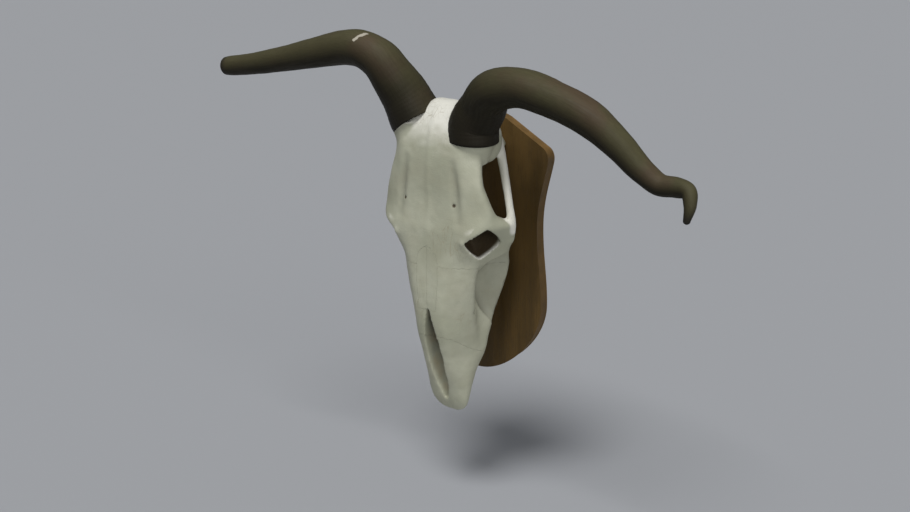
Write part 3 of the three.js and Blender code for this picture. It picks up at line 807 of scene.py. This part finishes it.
left_forms = [
    arch_loft(),
    ring_of_bone("rim", ORBIT_CENTRE - ORBIT_AXIS * ORBIT_RIM[2], ORBIT_AXIS, *ORBIT_RIM[:2]),
    rod("horn root", (59, -112, 208), (46, -112, 160), (37, 31), 64, 12),
    ball("temple", (58, -84, 186), (24, 28, 36)),
    ball("poll side", (42, -114, 214), (25, 24, 20)),
    ball("nape knob", (22, -42, 205), (13, 21, 15), 0.35),
    rod("nape process", (50, -62, 196), (48, -24, 168), (13, 6), 32, 8),
    ball("ear capsule", (20, -58, 146), (11, 13, 18)),
    rod("palate wing", (22, -64, 70), (20, -44, 30), (7, 3), 24, 6),
]
skull = fused(together([face_loft(), braincase_loft(), both_sides(together(left_forms))]),
              VOXEL, 6)
for hollow in (
    both_sides(socket_hollow()),
    nose_hollow(),
    ball("spinal hole", (0, -46, 218), (14, 17, 20)),
    ball("palate arch", (0, -50, -62), (32, 20, 92)),
    ball("rear nose", (0, -48, 48), (15, 26, 34)),
    both_sides(rod("brow hole", *BROW_HOLE, 24, 4)),
    both_sides(rod("cheek hole", *CHEEK_HOLE, 24, 4)),
):
    boolean(skull, hollow, "DIFFERENCE")
skull = fused(skull, VOXEL, 5)

# Blood vessels have left two long grooves in the forehead, which dips a little between them.
# The cheek falls away below the ridge of its socket, and old bone is faintly uneven all over.
BROW_GROOVE = ((45, 158), (49, 134), (52, 110), (57, 68))
BROW_GROOVE_DEEP = 4.2
BROW_GROOVE_WIDE = 7.0
BROW_GROOVE_MIDDLE = (114, 46)
FOREHEAD_DIP = (0, 92, 2.2, 30)
CHEEK_DEEP = 4.3
# The hollow's front edge: where it starts, how far back it runs, from what height, over what
# length, and its bend. Then the ridge over it, by slope and a point on it, and its two ends.
CHEEK_EDGE = (-104, 44, -8, 114, 2.7)
CHEEK_RIDGE = (0.91, -117, -14)
CHEEK_ENDS = (20, -128)


def distance_to_path(x, z, path):
    best = np.full(len(x), 1e9)
    for (ax, az), (bx, bz) in zip(path, path[1:]):
        dx, dz = bx - ax, bz - az
        share = np.clip(((x - ax) * dx + (z - az) * dz) / (dx * dx + dz * dz), 0, 1)
        best = np.minimum(best, np.hypot(x - ax - share * dx, z - az - share * dz))
    return best


def brow_groove(x, z):
    """How deep each place is in a groove, from 0 to 1."""
    middle, reach = BROW_GROOVE_MIDDLE
    across = distance_to_path(x, z, BROW_GROOVE) / BROW_GROOVE_WIDE
    return np.exp(-across**2 - ((z - middle) / reach) ** 2)


def on_face(y):
    """1 at the front of the skull and 0 on its sides."""
    return np.clip((-118 - y) / 14, 0, 1)


def cheek_front(z):
    """The line where the hollow of the cheek ends towards the face."""
    start, run, top, length, bend = CHEEK_EDGE
    return start + run * np.clip((top - z) / length, 0, 2) ** bend


def cheek_hollow(y, z):
    """How far each place on the side is in the hollow below the cheek's ridge, from 0 to 1."""
    slope, ridge_y, ridge_z = CHEEK_RIDGE
    top, bottom = CHEEK_ENDS
    below_ridge = np.clip((slope * (y - ridge_y) + ridge_z - z) / 6, 0, 1)
    behind_front = np.clip((y - cheek_front(z)) / 4, 0, 1)
    faded = np.clip((top - z) / 20, 0, 1), np.clip((z - bottom) / 52, 0, 1)
    soft = below_ridge * behind_front * faded[0] * faded[1]
    return soft * soft * (3 - 2 * soft)


def uneven(points, size, seed=0.0):
    """Smooth noise from -1 to 1 at points in millimetres."""
    return np.array([noise.noise(Vector((x / size + seed, y / size, z / size)))
                     for x, y, z in points])


def carve(piece):
    points, normals = vertices(piece) / MM, outward(piece)
    x, y, z = np.abs(points[:, 0]), points[:, 1], points[:, 2]
    front = on_face(y) * np.clip(-normals[:, 1], 0, 1)
    lift = 0.55 * uneven(points, 34) + 0.28 * uneven(points, 11, 7.0)
    lift -= front * BROW_GROOVE_DEEP * brow_groove(x, z)
    dx, dz, deep, wide = FOREHEAD_DIP
    lift -= front * deep * np.exp(-((x - dx) ** 2 + (z - dz) ** 2) / wide**2)
    lift += front * 0.9 * np.exp(-(x / 5.0) ** 2) * np.clip((z - 30) / 60, 0, 1)
    side = np.clip(np.abs(normals[:, 0]) * 2.5 - 0.5, 0, 1) * (np.abs(x) > 40)
    lift -= side * CHEEK_DEEP * cheek_hollow(y, z)
    points += normals * lift[:, None]
    piece.data.vertices.foreach_set("co", (points * MM).ravel())
    piece.data.update()


carve(skull)

# Rays and reach for how closed off each place is. This sets both the tan dirt and the painted
# shade of the hollows.
DIRT_AND_SHADE_RAYS = 44
DIRT_AND_SHADE_REACH = 0.08
CLEAR_OF_SKIN = 0.0015


def how_enclosed(piece):
    """Where dirt gathers and where shade is painted in the hollows: for points of a coarse copy,
    the share of the space round each that the bone and the shield close off."""
    coarse = linked("coarse", piece.data.copy())
    fused(coarse, 4 * MM, 0)
    points, normals = vertices(coarse), outward(coarse)
    tree = BVHTree.FromPolygons([tuple(p) for p in points],
                                [tuple(p.vertices) for p in coarse.data.polygons])
    i = np.arange(DIRT_AND_SHADE_RAYS) + 0.5
    high = 1 - 2 * i / DIRT_AND_SHADE_RAYS
    turn = math.pi * (1 + 5**0.5) * i
    flat = np.sqrt(1 - high**2)
    rays = np.stack([flat * np.cos(turn), flat * np.sin(turn), high], 1)
    facing = normals @ rays.T
    closed = np.zeros(len(points))
    for k in range(len(points)):
        start = Vector(points[k] + normals[k] * CLEAR_OF_SKIN)
        total = hit = 0.0
        for m in np.flatnonzero(facing[k] > 0.2):
            ray = rays[m]
            weight = facing[k][m]
            total += weight
            board = ray[1] > 0.05 and (-SHIELD_THICK * MM - start.y) / ray[1] < DIRT_AND_SHADE_REACH
            if board or tree.ray_cast(start, Vector(ray), DIRT_AND_SHADE_REACH)[0] is not None:
                hit += weight
        closed[k] = hit / total
    edges = np.zeros(len(coarse.data.edges) * 2, int)
    coarse.data.edges.foreach_get("vertices", edges)
    edges = edges.reshape(-1, 2)
    for _ in range(3):
        summed, number = closed.copy(), np.ones(len(closed))
        for a, b in ((0, 1), (1, 0)):
            np.add.at(summed, edges[:, a], closed[edges[:, b]])
            np.add.at(number, edges[:, a], 1)
        closed = summed / number
    bpy.data.objects.remove(coarse)
    lookup = KDTree(len(points))
    for k, point in enumerate(points):
        lookup.insert(point, k)
    lookup.balance()
    return lookup, closed


enclosed_at, enclosed = how_enclosed(skull)

# The bone is cut where the horns, the shield and the dowel meet it, and parted at its seams.
# The seams of a skull are wavy, so each cut is a wavy sheet.
JAW_SEAM = -6
MUZZLE_SEAM = -148
MUZZLE_SEAM_TILT = 0.5
SEAM_WAVE = 0.9
SEAM_REACH = 500
BEYOND = 300
# The nasal bones from the front: half width at the tip and where it is widest, and the top end.
NASAL_TIP = (17, -80)
NASAL_WIDEST = (22, 0)
NASAL_TOP = 26
NASAL_DEPTHS = (-175, -144)


def seam_wave(a, b):
    """How far a seam strays at each place: a slow bend, and a fine zigzag on it."""
    slow = 1.6 * np.sin(a / 15.0 + 0.7) + 1.2 * np.sin(b / 11.0 + a / 29.0)
    return slow + SEAM_WAVE * (np.sin(a / 1.25 + 1.6 * np.sin(b / 5.0))
                               + 0.8 * np.sin(b / 1.6 + 1.4 * np.sin(a / 4.1))) / 1.8


def wavy_block(name, height, tilt, far):
    """A block that reaches from a wavy sheet to far above or below it."""
    y = np.linspace(-200, 20, 150)
    rows = []
    for x in np.linspace(-150, 150, 200):
        near = height - tilt * (y + 100) + seam_wave(x + 0 * y, y)
        ring = np.column_stack([np.full(len(y), x), y, near])
        back = np.column_stack([np.full(2, x), y[[-1, 0]], np.full(2, height + far)])
        rows.append(np.vstack([ring, back]))
    return loft(name, rows)


def nasal_prism(shrink):
    """What lies within the outline of the two nasal bones, made smaller all round."""
    tip = (0, NASAL_TIP[1])
    half = np.vstack([
        bezier((tip, NASAL_TIP), 9),
        bezier((NASAL_TIP, NASAL_WIDEST), 40),
        bezier((NASAL_WIDEST, (NASAL_WIDEST[0], 18), (0, NASAL_TOP)), 20),
    ])
    outline = np.vstack([[tip], half, half[:-1][::-1] * (-1, 1)])
    along = np.roll(outline, -1, 0) - np.roll(outline, 1, 0)
    inward = np.stack([-along[:, 1], along[:, 0]], 1)
    inward /= np.linalg.norm(inward, axis=1)[:, None]
    wave = seam_wave(outline[:, 1] * 1.1, np.abs(outline[:, 0])) * 0.7
    outline = outline + inward * (shrink + wave)[:, None]
    rows = [np.stack([outline[:, 0], np.full(len(outline), y), outline[:, 1]], 1)
            for y in (NASAL_DEPTHS[0], NASAL_DEPTHS[1] - shrink)]
    return loft("nasals", rows)


for stations, side, base in ((HORN_LEFT, 1, HORN_LEFT_BASE), (HORN_RIGHT, -1, HORN_RIGHT_BASE)):
    boolean(skull, loft("horn place", horn_rows(stations, side, base, GAP, 70, 64)), "DIFFERENCE")
boolean(skull, block("board place", (-BEYOND, -SHIELD_THICK - GAP, -BEYOND),
                     (BEYOND, 60, BEYOND)), "DIFFERENCE")
boolean(skull, rod("dowel place", (0, -10, PEG_HEIGHT), (0, PEG_END - GAP, PEG_HEIGHT),
                   (PEG_RADIUS + GAP, PEG_RADIUS + GAP), 48), "DIFFERENCE")


def part_of(source, name, *cuts):
    piece = linked(name, source.data.copy())
    for other, operation in cuts:
        boolean(piece, other, operation)
    return piece


cranium_bone = part_of(
    skull, "cranium_bone",
    (wavy_block("above", JAW_SEAM + GAP / 2, 0, SEAM_REACH), "INTERSECT"),
    (nasal_prism(0), "DIFFERENCE"))
jaw = part_of(
    skull, "jaw",
    (wavy_block("under", JAW_SEAM - GAP / 2, 0, -SEAM_REACH), "INTERSECT"))
upper_jaw_bone = part_of(
    jaw, "upper_jaw_bone",
    (wavy_block("above", MUZZLE_SEAM, MUZZLE_SEAM_TILT, SEAM_REACH), "INTERSECT"),
    (nasal_prism(0), "DIFFERENCE"))
muzzle = part_of(
    jaw, "muzzle",
    (wavy_block("under", MUZZLE_SEAM - GAP, MUZZLE_SEAM_TILT, -SEAM_REACH), "INTERSECT"),
    (nasal_prism(0), "DIFFERENCE"))
nasals = part_of(skull, "both nasals", (nasal_prism(GAP), "INTERSECT"))
halves = []
for source, name in ((nasals, "nasal_bone"), (muzzle, "premaxilla_bone")):
    for word, low, high in (("left", GAP / 2, BEYOND), ("right", -BEYOND, -GAP / 2)):
        half = block("half", (low, -BEYOND, -400), (high, 60, 400))
        halves.append(part_of(source, f"{name}_{word}", (half, "INTERSECT")))
for piece in (skull, jaw, muzzle, nasals):
    bpy.data.objects.remove(piece)

# Dry bone is a greyish ivory, tan with dirt in the hollows and crossed by fine drying cracks that
# run with the length of the skull. A painted highlight makes the poll's top, the sockets' lower
# rims and the arches paler. Painted shade darkens the deep hollows, the sockets, the nose
# opening, the cheek hollows and the brow grooves.
BONE_PALE = (0.485, 0.487, 0.372, 1)
BONE_GREY = (0.39, 0.395, 0.29, 1)
BONE_PAINTED_SHADE = (0.27, 0.27, 0.205, 1)
BONE_PAINTED_HOLLOW_SHADE = (0.022, 0.014, 0.006, 1)
BONE_SOCKET_PAINTED_SHADE = (0.060, 0.042, 0.020, 1)
BONE_TAN = (0.33, 0.28, 0.18, 1)
BONE_PAINTED_HIGHLIGHT = (0.83, 0.815, 0.725, 1)


def bone_finish(name):
    finish = Finish(name)
    broad = finish.patches(finish.place, 11, 0.36, 0.66, 3.0)
    small = finish.patches(finish.place, 70, 0.34, 0.68, 5.0)
    tone = finish.mix(broad, BONE_PALE, BONE_GREY)
    tone = finish.mix(finish.maths("MULTIPLY", small, 0.35), tone, BONE_GREY)
    # Painted shade in the brow grooves, the cheek hollows and the nose opening, from the groove
    # mark.
    tone = finish.mix(finish.maths("MULTIPLY", finish.attribute("groove"), 0.6), tone, BONE_PAINTED_SHADE)
    tone = finish.mix(finish.attribute("bleached"), tone, BONE_PAINTED_HIGHLIGHT)
    closed = finish.attribute("enclosed")
    tan = finish.patches(finish.place, 26, 0.40, 0.70, 4.0)
    tan = finish.maths("MULTIPLY", tan, finish.span(closed, 0.25, 0.7, 0.12, 0.9))
    tone = finish.mix(tan, tone, BONE_TAN)
    # Painted shade: the most closed-off hollows are darkened nearly to black.
    tone = finish.mix(finish.span(closed, 0.60, 0.97, 0, 0.7), tone, BONE_PAINTED_HOLLOW_SHADE)
    # Painted shade inside the eye sockets and the brow holes.
    tone = finish.mix(finish.attribute("socket"), tone, BONE_SOCKET_PAINTED_SHADE)
    cracks = finish.nodes.new("ShaderNodeTexVoronoi")
    cracks.feature = "DISTANCE_TO_EDGE"
    cracks.inputs["Scale"].default_value = 1
    finish.links.new(finish.stretched(finish.place, (150, 150, 26)), cracks.inputs["Vector"])
    line = finish.span(cracks.outputs["Distance"], 0.0, 0.035, 1, 0)
    line = finish.maths("MULTIPLY", line, finish.patches(finish.place, 18, 0.52, 0.66))
    tone = finish.mix(finish.maths("MULTIPLY", line, 0.45), tone, BONE_TAN)
    finish.feed(tone, "Base Color")
    finish.feed(finish.span(small, 0, 1, 0.58, 0.74), "Roughness")
    pits = finish.patches(finish.place, 420, 0.36, 0.60, 3.0)
    height = finish.maths("ADD", finish.maths("MULTIPLY", small, 0.5), finish.maths(
        "ADD", finish.maths("MULTIPLY", pits, 0.28), finish.maths("MULTIPLY", line, -0.5)))
    finish.bump(height, 0.0006, 0.5)
    return finish.material


dry_bone = bone_finish("dry bone")


def enclosed_values(points):
    values = np.zeros(len(points))
    for k, point in enumerate(points):
        found = enclosed_at.find_n(point, 3)
        weights = [1 / (d + 1e-4) for _, _, d in found]
        values[k] = sum(w * enclosed[i] for w, (_, i, _) in zip(weights, found)) / sum(weights)
    return values


def on_left(points):
    """The points of both sides, as if all were on the skull's left."""
    return np.abs(points) * (1, 0, 0) + points * (0, 1, 1)


def in_socket(points):
    """1 inside an eye socket or a brow hole and 0 outside, with a narrow change."""
    folded = on_left(points)
    away = folded - ORBIT_CENTRE
    deep = -away @ ORBIT_AXIS
    wide = np.linalg.norm(away + deep[:, None] * ORBIT_AXIS, axis=1)
    inside = np.clip((deep - 3) / 5, 0, 1) * np.clip((ORBIT_RADIUS * 1.2 - wide) / 2, 0, 1)
    start, end, (radius, _) = BROW_HOLE
    line = np.subtract(end, start) / np.linalg.norm(np.subtract(end, start))
    off = folded - start
    wide = np.linalg.norm(off - np.outer(off @ line, line), axis=1)
    return np.maximum(inside, np.clip((radius + 0.4 - wide) / 0.8, 0, 1))


def in_nose(points):
    """How deep each place is in the nose's opening, from 0 to 1."""
    x, y, z = np.abs(points[:, 0]), points[:, 1], points[:, 2]
    wide = through(NOSE_HALF, (NOSE_TOP - z) / NOSE_LONG) + 1
    face = np.interp(-z, [-s[0] for s in SKULL_SECTIONS], [s[1] for s in SKULL_SECTIONS])
    inside = (x < wide) & (y < NOSE_BACK) & (z < NOSE_TOP) & (z > NOSE_TOP - NOSE_LONG - 2)
    return inside * np.clip((y - face - 2) / 9, 0, 1)


def cheek_shade(points):
    """Painted shade in the hollow of the cheek, darkest along its wall and towards its lower end.
    """
    y, z = points[:, 1], points[:, 2]
    wall = np.exp(-((y - cheek_front(z) - 4) / 6) ** 2) * np.clip((6 - z) / 30, 0, 1)
    low = np.clip((-35 - z) / 45, 0, 1)
    return cheek_hollow(y, z) * (np.abs(points[:, 0]) > 40) * (0.7 + 0.9 * wall + 0.45 * low)


def painted_top_highlight(points, normals, closed):
    """Painted highlight: the poll's top, the lower rims of the sockets and the arches, but no
    hollows.
    """
    folded = on_left(points)
    up = np.clip((normals[:, 2] - 0.12) / 0.35, 0, 1) * np.clip((points[:, 2] - 150) / 40, 0, 1)
    rim = folded - ORBIT_CENTRE + ORBIT_AXIS * ORBIT_RIM[2]
    ring = np.clip((36 - np.linalg.norm(rim, axis=1)) / 4, 0, 1) * (np.abs(rim @ ORBIT_AXIS) < 7)
    up = np.maximum(up, ring * np.clip((normals[:, 2] - 0.05) / 0.3, 0, 1))
    up *= np.clip((0.62 - closed) / 0.2, 0, 1)
    return np.maximum(up, 0.9 * on_arch(points))


def on_arch(points):
    """1 on a cheek arch and 0 away from it."""
    folded = on_left(points)
    away = np.full(len(points), 1e9)
    for point in centripetal(ARCH_PATH, np.linspace(0.9, 5, 40), False):
        away = np.minimum(away, np.linalg.norm(folded - point, axis=1))
    return np.clip((15 - away) / 4, 0, 1)


for piece, node in ((cranium_bone, "cranium"), (upper_jaw_bone, "maxilla"),
                    (halves[0], "nasal_left"), (halves[1], "nasal_right"),
                    (halves[2], "premaxilla_left"), (halves[3], "premaxilla_right")):
    places = vertices(piece) / MM
    closed = enclosed_values(places * MM) * (1 - 0.8 * on_arch(places))
    mark(piece, "enclosed", closed)
    # The socket mark sets where painted shade fills the eye sockets and the brow holes.
    mark(piece, "socket", in_socket(places))
    # Painted highlight where the light falls on the tops, the socket rims and the arches.
    mark(piece, "bleached", painted_top_highlight(places, outward(piece), closed))
    # The groove mark is painted shade: the brow grooves on the face, the cheek hollows and the
    # inside of the nose opening.
    painted_groove_shade = brow_groove(np.abs(places[:, 0]), places[:, 2]) * on_face(places[:, 1])
    mark(piece, "groove", painted_groove_shade + cheek_shade(places) + 1.3 * in_nose(places))
    smooth_by_angle(piece, 48)
    piece.data.materials.clear()
    piece.data.materials.append(dry_bone)
    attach(piece, "root")
    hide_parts(node)

# Six cheek teeth stand in a row on each side of the palate. Each is a column of two lobes with
# a worn, crescent-ridged top, browner than the bone it grows from.
TOOTH_COUNT = 6
TOOTH_FIRST = (45, -22)
TOOTH_LAST = (32, -127)
TOOTH_ROOT = -74
TOOTH_TIP = -50
TOOTH_LOBE = (7.4, 5.6, 4.6)
TOOTH_VALLEYS = (-2.6, 2.4)
VALLEY = (1.2, 2.6, 1.9)
TOOTH_SEED = 3
TOOTH_SIZES = ((0.92, 1.0, 0.95), (1.04, 1.0, 1.02))


def one_tooth():
    """A tooth at X = Z = 0 that points to the wall."""
    half_x, half_z, apart = TOOTH_LOBE
    angles = np.linspace(0, 2 * math.pi, 36, endpoint=False)
    lobes = []
    for side in (-1, 1):
        rows = []
        for share in np.linspace(0, 1, 16):
            narrow = 1.0 - 0.22 * share - 0.25 * max(0, share - 0.86) / 0.14
            rows.append(np.column_stack([
                half_x * narrow * np.cos(angles),
                np.full(36, TOOTH_ROOT + (TOOTH_TIP - TOOTH_ROOT) * share),
                side * apart + half_z * narrow * np.sin(angles)]))
        lobes.append(loft("lobe", rows))
    tooth = fused(together(lobes), 0.7 * MM, 3)
    above, reach, radius = VALLEY
    for side in (-1, 1):
        for x in TOOTH_VALLEYS:
            boolean(tooth, rod("valley", (x, TOOTH_TIP + above, side * apart - reach),
                               (x, TOOTH_TIP + above, side * apart + reach),
                               (radius, radius), 12), "DIFFERENCE")
    return tooth


tooth_enamel = Finish("worn tooth enamel")
stained = tooth_enamel.patches(tooth_enamel.place, 130, 0.36, 0.62)
streaks = tooth_enamel.patches(tooth_enamel.stretched(tooth_enamel.place, (500, 60, 500)), 1.0,
                               0.40, 0.64)
enamel = tooth_enamel.mix(stained, (0.52, 0.47, 0.35, 1), (0.22, 0.16, 0.09, 1))
tooth_enamel.feed(tooth_enamel.mix(tooth_enamel.maths("MULTIPLY", streaks, 0.5), enamel,
                                   (0.10, 0.07, 0.04, 1)), "Base Color")
tooth_enamel.feed(tooth_enamel.span(stained, 0, 1, 0.32, 0.6), "Roughness")

tooth = one_tooth()
for side, name in ((1, "teeth_left"), (-1, "teeth_right")):
    tooth_ends = [(side * out * MM, 0.0, up * MM) for out, up in (TOOTH_FIRST, TOOTH_LAST)]
    teeth = row_of_copies(name, tooth, TOOTH_COUNT, tooth_ends, TOOTH_SEED, "Scale",
                          TOOTH_SIZES, tooth_enamel.material)
    smooth_by_angle(teeth, 40)
    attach(teeth, "root")
    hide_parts("maxilla")
bpy.data.objects.remove(tooth)

# Each horn is a dark sheath over the bone root, ringed where it grew year by year and polished
# towards the tip. The right one ends blunt and worn, with a pale chip on top of its bend. Dust
# and a painted highlight make the upper sides paler, and painted shade darkens the base, most of
# all underneath.
HORN_STEPS = 460
HORN_SIDES = 96
RING_SPACING = 8.0
RING_HEIGHT = 0.12
RING_FADE = 110
CHIP_FROM = np.array((-129.0, -171.0, 332.0))
CHIP_TO = np.array((-118.0, -155.0, 341.0))
CHIP_WIDE = 2.8
HORN_DARK = ((0.012, 0.0095, 0.0035, 1), (0.018, 0.0145, 0.0055, 1))
HORN_DUSTY_AND_LIT = ((0.090, 0.082, 0.040, 1), (0.098, 0.069, 0.041, 1))
HORN_STREAK = (0.062, 0.051, 0.025, 1)
HORN_HAIR = (0.014, 0.011, 0.007, 1)
HORN_TIP = (0.012, 0.010, 0.008, 1)
HORN_ROOT_SHADE = (0.010, 0.008, 0.004, 1)
HORN_CHIP = (0.50, 0.46, 0.38, 1)


def horn_piece(name, stations, side, base, end_round):
    rows = np.array(horn_rows(stations, side, base, 0, HORN_STEPS, HORN_SIDES))
    middle = rows.mean(1)
    steps = np.linalg.norm(np.diff(middle, axis=0), axis=1)
    along = np.concatenate([[0], np.cumsum(steps)])
    angles = np.linspace(0, 2 * math.pi, HORN_SIDES, endpoint=False)
    spokes = rows - middle[:, None]
    radii = np.linalg.norm(spokes, axis=2)
    phase = 2 * math.pi * along / RING_SPACING + 2.2 * np.sin(along / 31) + np.sin(along / 12.3)
    wander = 0.9 * np.sin(angles + 0.7)[None] + 0.5 * np.sin(2 * angles)[None]
    rings = np.sin(phase[:, None] + wander)
    height = RING_HEIGHT * np.exp(-along / RING_FADE)[:, None]
    lift = height * (rings - 0.4) * (1 - np.exp(-along / 3.0))[:, None]
    flat = uneven(rows.reshape(-1, 3), 40, side * 3.0).reshape(radii.shape)
    fine = uneven(rows.reshape(-1, 3), 13, side * 5.0).reshape(radii.shape)
    left = np.clip((along[-1] - along) / end_round, 0, 1)
    dome = np.sqrt(np.clip(1 - (1 - left) ** 2, 0.02, 1))[:, None]
    wide = (radii + lift + 0.9 * flat + 0.3 * fine) * dome
    rows = middle[:, None] + spokes * (wide / radii)[:, :, None]
    piece = loft(name, rows)
    share = np.append((along / along[-1]).repeat(HORN_SIDES), (0, 1))
    mark(piece, "share", share)
    grain = np.stack([radii * np.cos(angles) * 0.5, radii * np.sin(angles) * 0.5,
                      np.broadcast_to(along[:, None], radii.shape) * 0.035], 2).reshape(-1, 3)
    grain = np.vstack([grain, grain[:1], grain[-1:]])
    field = piece.data.attributes.new("grain", "FLOAT_VECTOR", "POINT")
    field.data.foreach_set("vector", grain.astype(np.float32).ravel())
    line = CHIP_TO - CHIP_FROM
    points = vertices(piece) / MM
    offset = points - CHIP_FROM
    offset -= np.outer(np.clip(offset @ line / (line @ line), 0, 1), line)
    ragged = uneven(points, 4.0)
    mark(piece, "chip", np.clip(1.5 - np.linalg.norm(offset, axis=1) / CHIP_WIDE + 0.8 * ragged,
                                0, 1))
    # Upper sides: dust, and a painted highlight where the light falls on them.
    dust = np.clip(spokes @ (0.30, -0.12, 0.80) / radii + 0.20, 0, 1).ravel()
    mark(piece, "dust", np.append(dust, (dust[0], dust[-1])))
    piece.data.shade_smooth()
    return piece


def horn_finish():
    finish = Finish("dark horn")
    fibres = finish.attribute("grain", "Vector")
    streaks = finish.patches(fibres, 0.55, 0.30, 0.70, 5.0)
    hairs = finish.patches(fibres, 2.6, 0.36, 0.64, 3.0)
    broad = finish.patches(finish.place, 13, 0.38, 0.64, 3.0)
    dark = finish.mix(streaks, *HORN_DARK)
    dusty_and_lit = finish.mix(broad, *HORN_DUSTY_AND_LIT)
    dusty_and_lit = finish.mix(finish.maths("MULTIPLY", streaks, 0.3), dusty_and_lit, HORN_STREAK)
    tone = finish.mix(finish.attribute("dust"), dark, dusty_and_lit)
    tone = finish.mix(finish.maths("MULTIPLY", hairs, 0.18), tone, HORN_HAIR)
    tip = finish.span(finish.attribute("share"), 0.955, 0.992, 0, 0.85)
    tone = finish.mix(tip, tone, HORN_TIP)
    # Painted shade at the horn's base, less on its upper side.
    root = finish.span(finish.attribute("share"), 0.0, 0.27, 0.92, 0)
    root = finish.maths("MULTIPLY", root, finish.span(finish.attribute("dust"), 0.4, 1, 1, 0.35))
    tone = finish.mix(root, tone, HORN_ROOT_SHADE)
    chip = finish.span(finish.attribute("chip"), 0.25, 0.6, 0, 0.9)
    finish.feed(finish.mix(chip, tone, HORN_CHIP), "Base Color")
    finish.feed(finish.span(streaks, 0, 1, 0.66, 0.54), "Roughness")
    finish.set(Specular_IOR_Level=0.18)
    finish.bump(finish.maths("ADD", streaks, finish.maths("MULTIPLY", hairs, 0.4)), 0.0004, 0.35)
    return finish.material


dark_horn = horn_finish()
for name, node, stations, side, base, end_round in (
    ("horn_sheath_left", "horn_left", HORN_LEFT, 1, HORN_LEFT_BASE, 4.0),
    ("horn_sheath_right", "horn_right", HORN_RIGHT, -1, HORN_RIGHT_BASE, 6.0),
):
    sheath = horn_piece(name, stations, side, base, end_round)
    sheath.data.materials.append(dark_horn)
    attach(sheath, "root")
    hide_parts(node)

# The bounds of all that is shown, the floor left out.
low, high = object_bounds()
